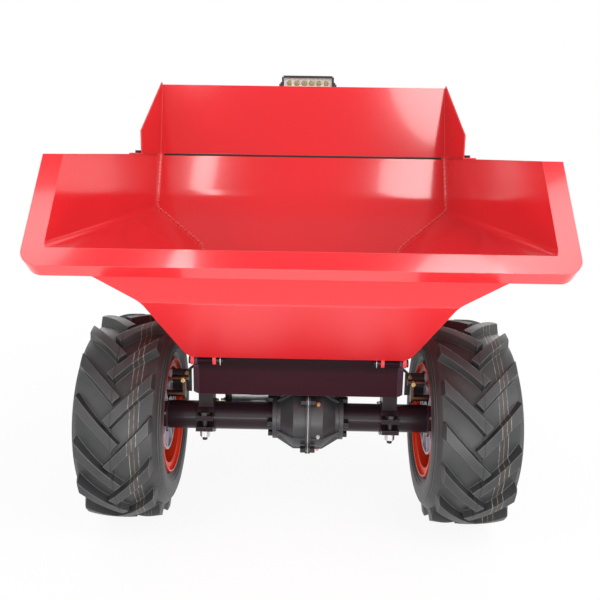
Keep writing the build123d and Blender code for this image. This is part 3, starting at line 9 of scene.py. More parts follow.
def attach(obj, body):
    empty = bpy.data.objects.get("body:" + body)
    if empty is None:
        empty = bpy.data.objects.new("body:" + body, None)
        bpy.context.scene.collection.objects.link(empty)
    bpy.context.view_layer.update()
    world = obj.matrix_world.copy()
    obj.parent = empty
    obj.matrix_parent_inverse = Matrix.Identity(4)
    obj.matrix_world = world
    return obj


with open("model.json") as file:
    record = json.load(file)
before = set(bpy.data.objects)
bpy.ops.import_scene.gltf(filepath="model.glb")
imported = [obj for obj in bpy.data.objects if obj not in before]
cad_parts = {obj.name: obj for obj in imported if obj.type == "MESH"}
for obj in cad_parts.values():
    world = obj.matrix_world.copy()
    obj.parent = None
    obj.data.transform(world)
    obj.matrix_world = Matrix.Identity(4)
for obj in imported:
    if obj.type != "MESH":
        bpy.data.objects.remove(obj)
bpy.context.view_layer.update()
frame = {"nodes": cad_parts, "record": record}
nodes = frame["nodes"]
print("frame loaded,", len(nodes), "nodes")


# Shader maths: a wrapped socket adds Math nodes when it is used in an expression
class Wire:
    def __init__(self, owner, socket):
        self.owner = owner
        self.socket = socket

    def calculate(self, operation, first, second=0.0):
        return self.owner.node("Math", {"operation": operation}, {0: first, 1: second})

    def __add__(self, other):
        return self.calculate("ADD", self, other)

    def __sub__(self, other):
        return self.calculate("SUBTRACT", self, other)

    def __rsub__(self, other):
        return self.calculate("SUBTRACT", other, self)

    def __mul__(self, other):
        return self.calculate("MULTIPLY", self, other)

    def __pow__(self, other):
        return self.calculate("POWER", self, other)

    def over(self, edge):
        return self.calculate("GREATER_THAN", self, edge)

    def under(self, edge):
        return self.calculate("LESS_THAN", self, edge)

    def most(self, other):
        return self.calculate("MAXIMUM", self, other)

    def sign(self):
        return self.calculate("SIGN", self)

    def sine(self):
        return self.calculate("SINE", self)

    def size(self):
        return self.calculate("ABSOLUTE", self)

    def clamped(self):
        return self.owner.node("Clamp", {}, {"Value": self})


# A node tree, of a material or of the world
class Nodes:
    def __init__(self, tree):
        self.tree = tree

    # the one way to add any node: type, settings first, then values or links of its sockets
    def node(self, kind, settings, inputs, output=0):
        made = self.tree.nodes.new("ShaderNode" + kind)
        for key, value in settings.items():
            setattr(made, key, value)
        for key, value in inputs.items():
            self.feed(made.inputs[key], value)
        return Wire(self, made.outputs[output])

    def feed(self, target, value):
        if isinstance(value, Wire):
            self.tree.links.new(value.socket, target)
        elif target.type == "RGBA":
            target.default_value = (*value, 1.0)
        else:
            target.default_value = value

    def band(self, value, low, high, fromLow=0.0, fromHigh=1.0):
        return self.node("MapRange", {}, {"Value": value, "From Min": fromLow, "From Max": fromHigh,
                                          "To Min": low, "To Max": high})

    # 1 for rays of the named kinds, 0 for others
    def rays(self, first, *others):
        kinds = self.node("LightPath", {}, {}).socket.node.outputs
        seen = Wire(self, kinds[first])
        for kind in others:
            seen = seen.most(Wire(self, kinds[kind]))
        return seen


# the colour sockets of a Mix node, which share their names with its other sockets
mixSet = {"share": 0, "first": 6, "second": 7, "result": 2}
bevelSamples = 6


class Finish(Nodes):
    def __init__(self, name, **fixed):
        self.material = bpy.data.materials.new(name)
        self.material.use_nodes = True
        super().__init__(self.material.node_tree)
        self.shader = next(n for n in self.tree.nodes if n.type == "BSDF_PRINCIPLED")
        self.put(**fixed)

    # sockets of the shader, by name with spaces left out
    def put(self, **values):
        for name, value in values.items():
            target = next(s for s in self.shader.inputs if s.name.replace(" ", "") == name)
            self.feed(target, value)

    def place(self):
        return self.node("TexCoord", {}, {}, "Object")

    def axes(self):
        split = self.node("SeparateXYZ", {}, {"Vector": self.place()})
        return [Wire(self, axis) for axis in split.socket.node.outputs]

    def noise(self, scale, detail, roughness=0.5, stretch=None):
        spot = self.place()
        if stretch:
            spot = self.node("Mapping", {}, {"Vector": spot, "Scale": stretch})
        return self.node("TexNoise", {}, {"Vector": spot, "Scale": scale, "Detail": detail,
                                          "Roughness": roughness})

    def blend(self, share, first, second):
        s = mixSet
        return self.node("Mix", {"data_type": "RGBA"},
                         {s["share"]: share, s["first"]: first, s["second"]: second}, s["result"])

    def rounded(self, radius):
        return self.node("Bevel", {"samples": bevelSamples}, {"Radius": radius})

    # how near a point is to a sharp edge, from the difference of true and rounded normals
    def edges(self, radius, gain):
        flat = self.node("NewGeometry", {}, {}, "Normal")
        same = self.node("VectorMath", {"operation": "DOT_PRODUCT"},
                         {0: self.rounded(radius), 1: flat}, "Value")
        return ((1.0 - same) * gain).clamped()

    def bump(self, height, distance, strength, radius):
        self.put(Normal=self.node("Bump", {}, {"Height": height, "Distance": distance,
                                               "Strength": strength, "Normal": self.rounded(radius)}))

    # two tones in slow clouds and a third along the edges; the clouds and edges come back as well
    def clouded(self, s, first, second, edge):
        cloud = self.noise(**s["cloud"])
        rim = self.edges(**s["edge"])
        tone = self.blend(self.band(cloud, 0.0, 1.0, *s["cloudSpan"]), first, second)
        return self.blend(rim * s["edgeShare"], tone, edge), cloud, rim


def shaded(colour, share):
    return [min(1.0, channel * share) for channel in colour]


# Glossy powder coat: faint orange peel, slow haze, and paler edges, partly where the coat runs thin and
# partly a painted highlight
coatSet = {"cloud": {"scale": 3.0, "detail": 1.0}, "cloudSpan": (0.1, 0.9), "cloudShade": 0.86,
           "edge": {"radius": 0.0025, "gain": 2.4}, "edgeShare": 0.55, "edgeRough": 0.08,
           "grime": {"scale": 40.0, "detail": 3.0}, "grimeWander": 0.006, "grimeShare": 0.75,
           "grimeShade": 0.3, "paleShare": 0.45, "roughSpan": 0.07, "lacquerSpan": 0.15,
           "lacquerRough": 0.06, "peelDetail": 2.0, "relief": {"strength": 0.5, "radius": 0.0015}}


# between two heights it darkens upward, a painted shadow; paleX: paler farther out than this, a painted
# highlight;
# dull: a low front zone that is rougher and has no lacquer
def powderCoat(name, colour, edge, gloss, shine, index, peelScale=240.0, peelDepth=0.00005,
               shadowZ=None, paleX=None, dull=None):
    s = coatSet
    coat = Finish(name, IOR=index, CoatRoughness=s["lacquerRough"], CoatIOR=index)
    tone, haze, rim = coat.clouded(s, colour, shaded(colour, s["cloudShade"]), edge)
    # painted shadow: darker towards the top, for the shade under the skip's front overhang
    if shadowZ:
        height = coat.axes()[2] + coat.noise(**s["grime"]) * s["grimeWander"]
        share = coat.band(height, 0.0, s["grimeShare"], *shadowZ)
        tone = coat.blend(share, tone, shaded(colour, s["grimeShade"]))
    # painted highlight: paler towards the ends, for the light on the beam's chamfered ends
    if paleX:
        tone = coat.blend(coat.axes()[0].size().over(paleX) * s["paleShare"], tone, edge)
    rough = coat.band(haze, gloss, gloss + s["roughSpan"]) + rim * s["edgeRough"]
    lacquer = coat.band(haze, max(0.0, shine - s["lacquerSpan"]), shine)
    if dull:
        y, z = coat.axes()[1:]
        below = y.under(dull["underY"]) * z.under(dull["underZ"])
        rough = rough + below * dull["rough"]
        lacquer = lacquer * (1.0 - below)
    coat.put(BaseColor=tone, Roughness=rough, CoatWeight=lacquer)
    coat.bump(coat.noise(peelScale, s["peelDetail"]), peelDepth, **s["relief"])
    return coat.material


# Bare or plated metal: cloudy tone, bright edges and hairline scratches
metalSet = {"cloud": {"scale": 35.0, "detail": 4.0}, "cloudSpan": (0.3, 0.75),
            "edge": {"radius": 0.0009, "gain": 1.5}, "edgeShare": 0.4, "edgeShade": 1.35,
            "hair": {"scale": 900.0, "detail": 3.0, "roughness": 0.6, "stretch": (0.2, 1.0, 1.0)},
            "roughLess": 0.08, "roughMore": 0.14,
            "relief": {"distance": 0.00004, "strength": 0.4, "radius": 0.0008}}


def bareMetal(name, colour, dark, gloss, metal=1.0):
    s = metalSet
    steel = Finish(name, Metallic=metal)
    tone = steel.clouded(s, colour, dark, shaded(colour, s["edgeShade"]))[0]
    hair = steel.noise(**s["hair"])
    rough = steel.band(hair, gloss - s["roughLess"], gloss + s["roughMore"])
    steel.put(BaseColor=tone, Roughness=rough)
    steel.bump(hair, **s["relief"])
    return steel.material


# Sand-cast housing, with a bright gasket line where its halves meet
castSet = {"specular": 0.55, "grain": {"scale": 520.0, "detail": 4.0, "roughness": 0.65},
           "cloud": {"scale": 28.0, "detail": 4.0}, "cloudSpan": (0.4, 0.7),
           "edge": {"radius": 0.0018, "gain": 1.6}, "edgeShare": 0.5, "edgeShade": 2.6,
           "seamHalf": 0.0006, "seamColour": (0.5, 0.5, 0.5), "rough": (0.34, 0.52),
           "relief": {"distance": 0.0003, "strength": 0.5, "radius": 0.0014}}


def castIron(name, colour, dust, seamX=None):
    s = castSet
    cast = Finish(name, SpecularIORLevel=s["specular"])
    tone = cast.clouded(s, colour, dust, shaded(dust, s["edgeShade"]))[0]
    if seamX is not None:
        seam = (cast.axes()[0] - seamX).size().under(s["seamHalf"])
        tone = cast.blend(seam, tone, s["seamColour"])
    grain = cast.noise(**s["grain"])
    cast.put(BaseColor=tone, Roughness=cast.band(grain, *s["rough"]))
    cast.bump(grain, **s["relief"])
    return cast.material


# Castor tyres, grips and pads
rubberSet = {"specular": 0.45, "grain": {"scale": 700.0, "detail": 3.0, "roughness": 0.6},
             "cloud": {"scale": 14.0, "detail": 5.0, "roughness": 0.6}, "cloudSpan": (0.35, 0.7),
             "edge": {"radius": 0.0025, "gain": 1.8}, "edgeShare": 0.5, "rough": (0.46, 0.66),
             "relief": {"distance": 0.00012, "strength": 0.6, "radius": 0.0018}}


def rubber(name, colour, worn, dusty):
    s = rubberSet
    soft = Finish(name, SpecularIORLevel=s["specular"])
    # the third tone, on the edges, is partly dust and partly a painted edge highlight
    tone = soft.clouded(s, colour, worn, dusty)[0]
    grain = soft.noise(**s["grain"])
    soft.put(BaseColor=tone, Roughness=soft.band(grain, *s["rough"]))
    soft.bump(grain, **s["relief"])
    return soft.material


# Drive tyre: mould seam on the crown, ribbed sidewall, the paint lines of a new tyre, and pale lug edges
# that are partly dust, partly a painted highlight
wheelSet = {"x": 0.331, "axleY": -0.42013, "axleZ": 0.205}
tyreSet = {"specular": 0.5, "black": (0.024, 0.025, 0.026), "worn": (0.042, 0.043, 0.044),
           "dusty": (0.22, 0.22, 0.22), "grain": {"scale": 700.0, "detail": 3.0, "roughness": 0.6},
           "cloud": {"scale": 16.0, "detail": 5.0, "roughness": 0.6}, "cloudSpan": (0.35, 0.7),
           "edge": {"radius": 0.003, "gain": 2.6}, "edgeShare": 0.75, "rough": (0.36, 0.56),
           "seamHalf": 0.0009, "seamShare": 0.85, "seamColour": (0.006, 0.006, 0.006),
           "lines": [(0.030, (0.42, 0.38, 0.32)), (0.038, (0.42, 0.24, 0.12)),
                     (0.046, (0.42, 0.38, 0.32))],
           "lineHalf": 0.00045, "lineFrom": 0.168, "lineTo": 0.21,
           "fade": {"scale": 110.0, "detail": 3.0, "roughness": 0.6},
           "fadeShares": (0.15, 0.8), "fadeSpan": (0.36, 0.62),
           "ribsFrom": 0.128, "ribsTo": 0.168, "ribsOut": 0.06, "ribTurns": 1570.0,
           "ribShare": 0.35, "grainShare": 0.12,
           "relief": {"distance": 0.0008, "strength": 0.6, "radius": 0.0016}}


def driveTyre():
    s = tyreSet
    tread = Finish("tyreRubber", SpecularIORLevel=s["specular"])
    x, y, z = tread.axes()
    off = x - x.sign() * wheelSet["x"]
    rise = z - wheelSet["axleZ"]
    back = y - wheelSet["axleY"]
    reach = (rise * rise + back * back) ** 0.5
    # pale edges: partly dust, partly a painted highlight on the lug edges
    tone = tread.clouded(s, s["black"], s["worn"], s["dusty"])[0]
    crown = reach.over(s["lineFrom"])
    seam = off.size().under(s["seamHalf"]) * crown
    tone = tread.blend(seam * s["seamShare"], tone, s["seamColour"])
    groove = crown * reach.under(s["lineTo"])
    faded = tread.band(tread.noise(**s["fade"]), *s["fadeShares"], *s["fadeSpan"])
    for place, colour in s["lines"]:
        line = (off - place).size().under(s["lineHalf"]) * groove
        tone = tread.blend(line * faded, tone, colour)
    wall = reach.over(s["ribsFrom"]) * reach.under(s["ribsTo"]) * off.size().over(s["ribsOut"])
    ribs = (reach * s["ribTurns"]).sine() * wall
    grain = tread.noise(**s["grain"])
    tread.put(BaseColor=tone, Roughness=tread.band(grain, *s["rough"]))
    tread.bump(grain * s["grainShare"] + ribs * s["ribShare"], **s["relief"])
    return tread.material


# Moulded plastic, with a fine grain
plasticSet = {"index": 1.46, "grain": {"scale": 900.0, "detail": 2.0},
              "cloud": {"scale": 20.0, "detail": 3.0}, "cloudSpan": (0.35, 0.7),
              "edge": {"radius": 0.0012, "gain": 1.4}, "edgeShare": 0.4, "edgeShade": 3.0,
              "roughLess": 0.06, "roughMore": 0.1,
              "relief": {"distance": 0.00006, "strength": 0.5, "radius": 0.001}}


def moulded(name, colour, pale, gloss=0.45):
    s = plasticSet
    plastic = Finish(name, IOR=s["index"])
    tone = plastic.clouded(s, colour, pale, shaded(pale, s["edgeShade"]))[0]
    grain = plastic.noise(**s["grain"])
    rough = plastic.band(grain, gloss - s["roughLess"], gloss + s["roughMore"])
    plastic.put(BaseColor=tone, Roughness=rough)
    plastic.bump(grain, **s["relief"])
    return plastic.material


# Metals and coats that follow each other along one axis of a piece: where each starts, its colour
# and how far it is metal
partedSet = {"cloud": {"scale": 60.0, "detail": 4.0}, "metal": 0.9, "dirt": (0.05, 0.05, 0.05),
             "dirtShares": (0.0, 0.35), "dirtSpan": (0.35, 0.75), "roughLess": 0.05,
             "roughMore": 0.15, "grain": {"scale": 500.0, "detail": 3.0},
             "relief": {"distance": 0.00005, "strength": 0.4, "radius": 0.0008}}


def partedMetal(name, axis, steps, gloss=0.3):
    s = partedSet
    plate = Finish(name)
    place = plate.axes()["xyz".index(axis)]
    cloud = plate.noise(**s["cloud"])
    tone, share = steps[0][1:]
    shine = plate.band(cloud, share * s["metal"], share)
    for start, colour, share in steps[1:]:
        above = place.over(start)
        tone = plate.blend(above, tone, colour)
        shine = shine * (1.0 - above) + above * share * s["metal"]
    dirt = plate.band(cloud, *s["dirtShares"], *s["dirtSpan"])
    rough = plate.band(cloud, gloss - s["roughLess"], gloss + s["roughMore"])
    plate.put(BaseColor=plate.blend(dirt, tone, s["dirt"]), Metallic=shine, Roughness=rough)
    plate.bump(plate.noise(**s["grain"]), **s["relief"])
    return plate.material


# Brake backplate: zinc-grey pressing, with the cable stop on its inner side painted dark
backPlateSet = {"cloud": {"scale": 30.0, "detail": 3.0}, "innerX": 0.2625, "metal": 0.5,
                "greys": ((0.38, 0.36, 0.42), (0.48, 0.45, 0.52)), "dark": (0.02, 0.012, 0.016),
                "rough": (0.36, 0.5), "grain": {"scale": 420.0, "detail": 3.0},
                "relief": {"distance": 0.00006, "strength": 0.5, "radius": 0.001}}


def brakePlate():
    s = backPlateSet
    plate = Finish("backPlate")
    cloud = plate.noise(**s["cloud"])
    inner = plate.axes()[0].size().under(s["innerX"])
    tone = plate.blend(inner, plate.blend(cloud, *s["greys"]), s["dark"])
    plate.put(BaseColor=tone, Metallic=(1.0 - inner) * s["metal"])
    plate.put(Roughness=plate.band(cloud, *s["rough"]))
    plate.bump(plate.noise(**s["grain"]), **s["relief"])
    return plate.material


glassSet = {"index": 1.45, "lacquer": 0.5, "lacquerRough": 0.02,
            "ripple": {"scale": 60.0, "detail": 2.0}, "rough": (0.02, 0.06), "solid": (0.04, 0.08),
            "tints": ((0.95, 0.95, 0.92), (0.9, 0.9, 0.86))}


def lampGlass():
    s = glassSet
    glass = Finish("lampGlass", IOR=s["index"], CoatWeight=s["lacquer"],
                   CoatRoughness=s["lacquerRough"])
    ripple = glass.noise(**s["ripple"])
    glass.put(BaseColor=glass.blend(ripple, *s["tints"]))
    glass.put(Roughness=glass.band(ripple, *s["rough"]), Alpha=glass.band(ripple, *s["solid"]))
    return glass.material


redPaint = powderCoat("redPaint", (0.77, 0.017, 0.024), (0.95, 0.16, 0.16), gloss=0.12, shine=0.6,
                      index=1.48, peelScale=110.0, peelDepth=0.00009,
                      dull={"underY": -0.5, "underZ": 0.5, "rough": 0.2})
# weld beads: the pale pink along their ripples' edges is a painted highlight, for the glints on the
# beads
weldRed = powderCoat("weldRed", (0.8, 0.02, 0.022), (1.0, 0.5, 0.46), gloss=0.14, shine=0.7, index=1.5)
rimPaint = powderCoat("rimPaint", (0.82, 0.045, 0.016), (0.95, 0.24, 0.14), gloss=0.34, shine=0.1,
                      index=1.22)
blackPaint = powderCoat("blackPaint", (0.02, 0.018, 0.02), (0.13, 0.12, 0.13), gloss=0.3, shine=0.3,
                        index=1.45)
# axle and beam paints: their purple tint is painted red light bounced from the skip above
axlePaint = powderCoat("axlePaint", (0.018, 0.009, 0.013), (0.13, 0.09, 0.11), gloss=0.28, shine=0.2,
                       index=1.3)
# beam: the darker top band is a painted shadow under the skip, the paler ends a painted highlight on the
# chamfers
beamPaint = powderCoat("beamPaint", (0.03, 0.005, 0.011), (0.15, 0.09, 0.12), gloss=0.3, shine=0.06,
                       index=1.15, shadowZ=(0.318, 0.33), paleX=0.1935)
blackBolt = bareMetal("blackBolt", (0.03, 0.03, 0.032), (0.015, 0.015, 0.016), gloss=0.36, metal=0.6)
zincPlate = bareMetal("zincPlate", (0.74, 0.74, 0.73), (0.52, 0.53, 0.54), gloss=0.28)
yellowZinc = bareMetal("yellowZinc", (0.11, 0.07, 0.045), (0.07, 0.045, 0.032), gloss=0.36)
groundSteel = bareMetal("groundSteel", (0.62, 0.62, 0.63), (0.4, 0.4, 0.42), gloss=0.28)
brassTurned = bareMetal("brassTurned", (0.78, 0.56, 0.24), (0.55, 0.38, 0.16), gloss=0.26)
castAlloy = bareMetal("castAlloy", (0.6, 0.61, 0.62), (0.4, 0.41, 0.42), gloss=0.38)
motorAlloy = bareMetal("motorAlloy", (0.8, 0.8, 0.81), (0.6, 0.6, 0.62), gloss=0.3)
backPlate = brakePlate()
reflector = moulded("reflector", (0.72, 0.7, 0.68), (0.78, 0.76, 0.74), gloss=0.3)
darkCast = castIron("darkCast", (0.03, 0.031, 0.032), (0.05, 0.051, 0.052))
diffCast = castIron("diffCast", (0.022, 0.022, 0.024), (0.036, 0.036, 0.04), seamX=0.021)
tyreRubber = driveTyre()
castorRubber = rubber("castorRubber", (0.06, 0.061, 0.063), (0.08, 0.081, 0.083), (0.16, 0.16, 0.16))
softRubber = rubber("softRubber", (0.017, 0.017, 0.017), (0.026, 0.026, 0.026), (0.07, 0.07, 0.07))
blackPlastic = moulded("blackPlastic", (0.014, 0.014, 0.015), (0.025, 0.025, 0.026))
hubNylon = moulded("hubNylon", (0.16, 0.16, 0.17), (0.22, 0.22, 0.23))
lampHousing = moulded("lampHousing", (0.012, 0.012, 0.013), (0.02, 0.02, 0.021), gloss=0.38)
dialFace = moulded("dialFace", (0.72, 0.72, 0.7), (0.8, 0.8, 0.78), gloss=0.3)
needleRed = moulded("needleRed", (0.7, 0.03, 0.02), (0.75, 0.05, 0.03), gloss=0.35)
ledYellow = moulded("ledYellow", (0.3, 0.25, 0.04), (0.36, 0.3, 0.07), gloss=0.3)
lensGlass = lampGlass()
plugMetal = partedMetal("plugMetal", "z", [(0.0, (0.75, 0.3, 0.34), 0.0),
                                           (0.17, (0.72, 0.72, 0.71), 1.0),
                                           (0.23, (0.78, 0.56, 0.24), 1.0)])
nutMetal = partedMetal("nutMetal", "z", [(0.0, (0.02, 0.02, 0.02), 0.3),
                                         (0.1765, (0.78, 0.78, 0.77), 1.0),
                                         (0.1892, (0.035, 0.03, 0.034), 0.4)])
cableSheath = partedMetal("cableSheath", "y", [(-1.0, (0.72, 0.52, 0.24), 1.0),
                                               (-0.373, (0.014, 0.014, 0.014), 0.0)])
batteryShell = partedMetal("batteryShell", "z", [(0.0, (0.06, 0.06, 0.07), 0.0),
                                                 (0.4922, (0.4, 0.4, 0.42), 0.8)], gloss=0.4)

# finishes by slot of the record, and by node where one differs from its slot
slotFinish = {
    "red_paint": redPaint, "rim_paint": rimPaint, "black_paint": blackPaint, "black_bolt": blackBolt,
    "zinc": zincPlate, "yellow_zinc": yellowZinc, "bright_steel": groundSteel, "cast": darkCast,
    "brass": brassTurned, "alloy": castAlloy, "tyre": tyreRubber, "rubber": softRubber,
    "cable": cableSheath, "battery_case": batteryShell, "black_plastic": blackPlastic,
    "lens": lensGlass,
}
nodeFinish = {
    "castor_tyre_left": castorRubber, "castor_tyre_right": castorRubber,
    "castor_hub_left": hubNylon, "castor_hub_right": hubNylon, "brake_backplates": backPlate,
    "diff_case_left": diffCast, "diff_case_right": diffCast, "oil_plugs": plugMetal,
    "clamp_bolts": nutMetal, "drive_motor": motorAlloy, "lamp_head": lampHousing,
    "front_beam": beamPaint, "axle_tubes": axlePaint, "axle_clamps": axlePaint,
}
for part in frame["record"]["subparts"]:
    for materialSlot in nodes[part["node"]].material_slots:
        materialSlot.material = nodeFinish.get(part["node"], slotFinish[part["material_slot"]])
print("finishes set")

# the record's slot that each new piece belongs to, by its finish
slotOf = {finish.name: slot for slot, finish in slotFinish.items()}
slotOf.update(weldRed="red_paint", reflector="alloy", dialFace="lens", ledYellow="lens",
              needleRed="red_paint")

# Modelling helpers: open a primitive in edit mode, pick parts by place or direction, set copies down
helperSet = {"merge": 0.00001, "facing": 0.9, "smoothDegrees": 35.0, "lift": 1.0, "rowShare": 0.3}
mirrorX = Matrix.Scale(-1.0, 4, (1.0, 0.0, 0.0))
perMetre = 1000


def activate(item):
    bpy.ops.object.select_all(action="DESELECT")
    item.select_set(True)
    bpy.context.view_layer.objects.active = item


def fresh(add, **sizes):
    bpy.ops.object.select_all(action="DESELECT")
    add(**sizes)
    bpy.ops.object.mode_set(mode="EDIT")
    return bpy.context.object


def freshBlock(size):
    made = fresh(bpy.ops.mesh.primitive_cube_add, size=1.0)
    bpy.ops.transform.resize(value=size)
    return made


def pick(made, kind, test):
    bpy.ops.mesh.select_mode(type=kind)
    bpy.ops.mesh.select_all(action="DESELECT")
    cage = bmesh.from_edit_mesh(made.data)
    cage.normal_update()
    for item in {"FACE": cage.faces, "EDGE": cage.edges, "VERT": cage.verts}[kind]:
        ends = [item.co] if kind == "VERT" else [v.co for v in item.verts]
        middle = sum(ends, Vector()) / len(ends)
        lean = (ends[1] - ends[0]).normalized() if kind == "EDGE" else item.normal
        if test(middle, lean):
            item.select_set(True)
    cage.select_flush_mode()
    bmesh.update_edit_mesh(made.data)


def pickFacing(made, direction=(0, 0, 1)):
    ahead = Vector(direction)
    pick(made, "FACE", lambda spot, lean: lean.dot(ahead) > helperSet["facing"])


def raiseBy(height):
    bpy.ops.transform.translate(value=(0.0, 0.0, height))


def extrudeBy(height):
    bpy.ops.mesh.extrude_region_move(TRANSFORM_OT_translate={"value": (0.0, 0.0, height)})


def closeEdit():
    bpy.ops.mesh.select_all(action="SELECT")
    bpy.ops.mesh.remove_doubles(threshold=helperSet["merge"])
    bpy.ops.mesh.normals_make_consistent(inside=False)
    bpy.ops.object.mode_set(mode="OBJECT")


def shaped(made, kind, **settings):
    change = made.modifiers.new(kind.lower(), kind)
    for key, value in settings.items():
        setattr(change, key, value)
    bpy.ops.object.modifier_apply(modifier=change.name)


def softened(made, width, segments=2):
    shaped(made, "BEVEL", width=width, segments=segments, limit_method="ANGLE")


# one piece made of copies of a modelled form, each with its own mesh
def setDown(made, name, body, finish, places):
    whole = bmesh.new()
    for place in places:
        copy = made.data.copy()
        copy.transform(place)
        if place.determinant() < 0.0:
            copy.flip_normals()
        whole.from_mesh(copy)
        bpy.data.meshes.remove(copy)
    mesh = bpy.data.meshes.new(name)
    whole.to_mesh(mesh)
    whole.free()
    mesh.materials.append(finish)
    piece = bpy.data.objects.new(name, mesh)
    bpy.context.collection.objects.link(piece)
    activate(piece)
    bpy.ops.object.shade_smooth_by_angle(angle=math.radians(helperSet["smoothDegrees"]))
    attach(piece, body)


def putAway(*masters):
    for made in masters:
        bpy.data.objects.remove(made)


# a turned form, from rings of radius and height: each ring is extruded, scaled and moved on
def turned(around, rings):
    radius, height = rings[0]
    made = fresh(bpy.ops.mesh.primitive_circle_add, vertices=around, radius=radius, fill_type="NGON")
    raiseBy(height)
    for nextRadius, nextHeight in rings[1:]:
        bpy.ops.mesh.extrude_region_move()
        share = nextRadius / radius
        bpy.ops.transform.resize(value=(share, share, 1.0))
        raiseBy(nextHeight - height)
        radius, height = nextRadius, nextHeight
    closeEdit()
    return made


# a strip bent along points of X and Z: its rows wait above until each is moved to its point
def bentStrip(points, width, thickness, soft):
    s = helperSet
    count = len(points)
    made = fresh(bpy.ops.mesh.primitive_grid_add, x_subdivisions=count - 1, y_subdivisions=1, size=1.0)
    bpy.ops.transform.resize(value=(1.0, width, 1.0))
    raiseBy(s["lift"])
    for number, (x, z) in enumerate(points):
        row = number / (count - 1) - 0.5
        pick(made, "VERT", lambda spot, lean: spot.z > s["lift"] / 2
             and abs(spot.x - row) < s["rowShare"] / count)
        bpy.ops.transform.translate(value=(x - row, 0.0, z - s["lift"]))
    closeEdit()
    shaped(made, "SOLIDIFY", thickness=thickness, offset=0.0)
    softened(made, soft)
    return made


def spun(degrees, axis):
    return Matrix.Rotation(math.radians(degrees), 4, axis)


def at(x, y, z, turn=None, size=1.0):
    place = Matrix.Translation((x, y, z))
    if turn:
        place = place @ spun(*turn)
    return place @ Matrix.Scale(size, 4)


# Weld beads: one ripple repeated along seams
weldSet = {"radius": 0.0052, "length": 0.004, "pitch": 0.0042, "around": 12, "capInset": 0.0018,
           "capRise": 0.0018, "swell": 0.1, "swellTurn": 2.4, "shortest": 1e-6}
skipSeamSet = {"merge": 0.00002, "frontY": -0.31, "halfX": 0.3825, "acrossMost": 0.95, "fold": -0.25}
frameSeamSet = {"tieX": 0.185, "tubeRadius": 0.016, "tieRadius": 0.0125, "tieY": 0.41095, "tieZ": 0.8,
                "barLean": (0.0, 0.4988, 0.8667), "footY": 0.13987, "footZ": 0.3292, "around": 36,
                "railX": 0.165, "crossY": (-0.23013, 0.17487, 0.39987), "crossHalf": 0.02,
                "crossZ": (0.2835, 0.3225), "size": 0.5}


def ripple():
    s = weldSet
    made = fresh(bpy.ops.mesh.primitive_cylinder_add, vertices=s["around"], radius=s["radius"],
                 depth=s["length"])
    pickFacing(made)
    bpy.ops.mesh.inset(thickness=s["capInset"])
    raiseBy(s["capRise"])
    closeEdit()
    return made


def alongPath(points, size=1.0):
    s = weldSet
    places = []
    step = 0.0
    for first, second in zip(points, points[1:]):
        run = second - first
        if run.length < s["shortest"]:
            continue
        turn = run.to_track_quat("Z", "Y").to_matrix().to_4x4()
        while step < run.length:
            swell = size * (1.0 + s["swell"] * math.sin(s["swellTurn"] * len(places)))
            spot = first + run * (step / run.length)
            places.append(Matrix.Translation(spot) @ turn @ Matrix.Scale(swell, 4))
            step += s["pitch"] * size
        step -= run.length
    return places


# the inner corners where the skip's rolled back meets its sides, from a merged copy of its mesh
def skipSeams():
    s = skipSeamSet
    cage = bmesh.new()
    cage.from_mesh(nodes["skip_tub"].data)
    bmesh.ops.remove_doubles(cage, verts=cage.verts, dist=s["merge"])
    spots = set()
    for edge in cage.edges:
        ends = [v.co for v in edge.verts]
        middle = (ends[0] + ends[1]) / 2
        along = (ends[1] - ends[0]).normalized()
        inside = middle.y > s["frontY"] and abs(middle.x) < s["halfX"] and abs(along.x) < s["acrossMost"]
        if inside and len(edge.link_faces) == 2 and edge.calc_face_angle_signed(0.0) < s["fold"]:
            spots.update(tuple(end) for end in ends)
    cage.free()
    return [[Vector(p) for p in sorted((p for p in spots if p[0] * side > 0), key=lambda p: p[2])]
            for side in (-1, 1)]


# round the ends of the handlebar's tie and feet, and along the cross-members' ends
def frameSeams():
    s = frameSeamSet
    seams = []
    lean = Vector(s["barLean"])
    across = lean.cross(Vector((1.0, 0.0, 0.0)))
    low, high = s["crossZ"]
    for side in (-1, 1):
        tie = []
        foot = []
        for n in range(s["around"] + 1):
            turn = math.radians(360.0 / s["around"] * n)
            offset = Vector((0.0, math.cos(turn), math.sin(turn))) * s["tieRadius"]
            depth = math.sqrt(s["tubeRadius"] ** 2 - offset.dot(across) ** 2)
            tie.append(Vector((side * (s["tieX"] - depth), s["tieY"], s["tieZ"])) + offset)
            foot.append(Vector((side * s["tieX"] + s["tubeRadius"] * math.cos(turn),
                                s["footY"] + s["tubeRadius"] / lean.z * math.sin(turn), s["footZ"])))
        seams += [tie, foot]
        for y in s["crossY"]:
            near, far = y - s["crossHalf"], y + s["crossHalf"]
            corners = [(near, high), (near, low), (far, low), (far, high)]
            seams.append([Vector((side * s["railX"], *corner)) for corner in corners])
    return seams


def weldBeads():
    bead = ripple()
    size = frameSeamSet["size"]
    setDown(bead, "skipWelds", "skip", weldRed, [p for seam in skipSeams() for p in alongPath(seam)])
    setDown(bead, "frameWelds", "chassis", blackPaint,
            [p for seam in frameSeams() for p in alongPath(seam, size)])
    putAway(bead)


weldBeads()
print("welds made")

# Work lamp: a reflector of twelve cups behind the lens and a diode in each
lampSet = {"middle": (0.013, 0.46195, 0.936), "width": 0.1476, "height": 0.0496, "columns": 6, "rows": 2,
           "steps": [(0.0008, 0.0), (0.001, -0.002), (0.0012, -0.0024)], "soft": 0.0006,
           "pitchX": 0.0223, "rowsZ": (-0.0125, 0.0095), "diodeY": 0.4672, "diodeRadius": 0.0088,
           "diodeSegments": 16, "diodeRings": 10, "diodeFlat": 0.55}


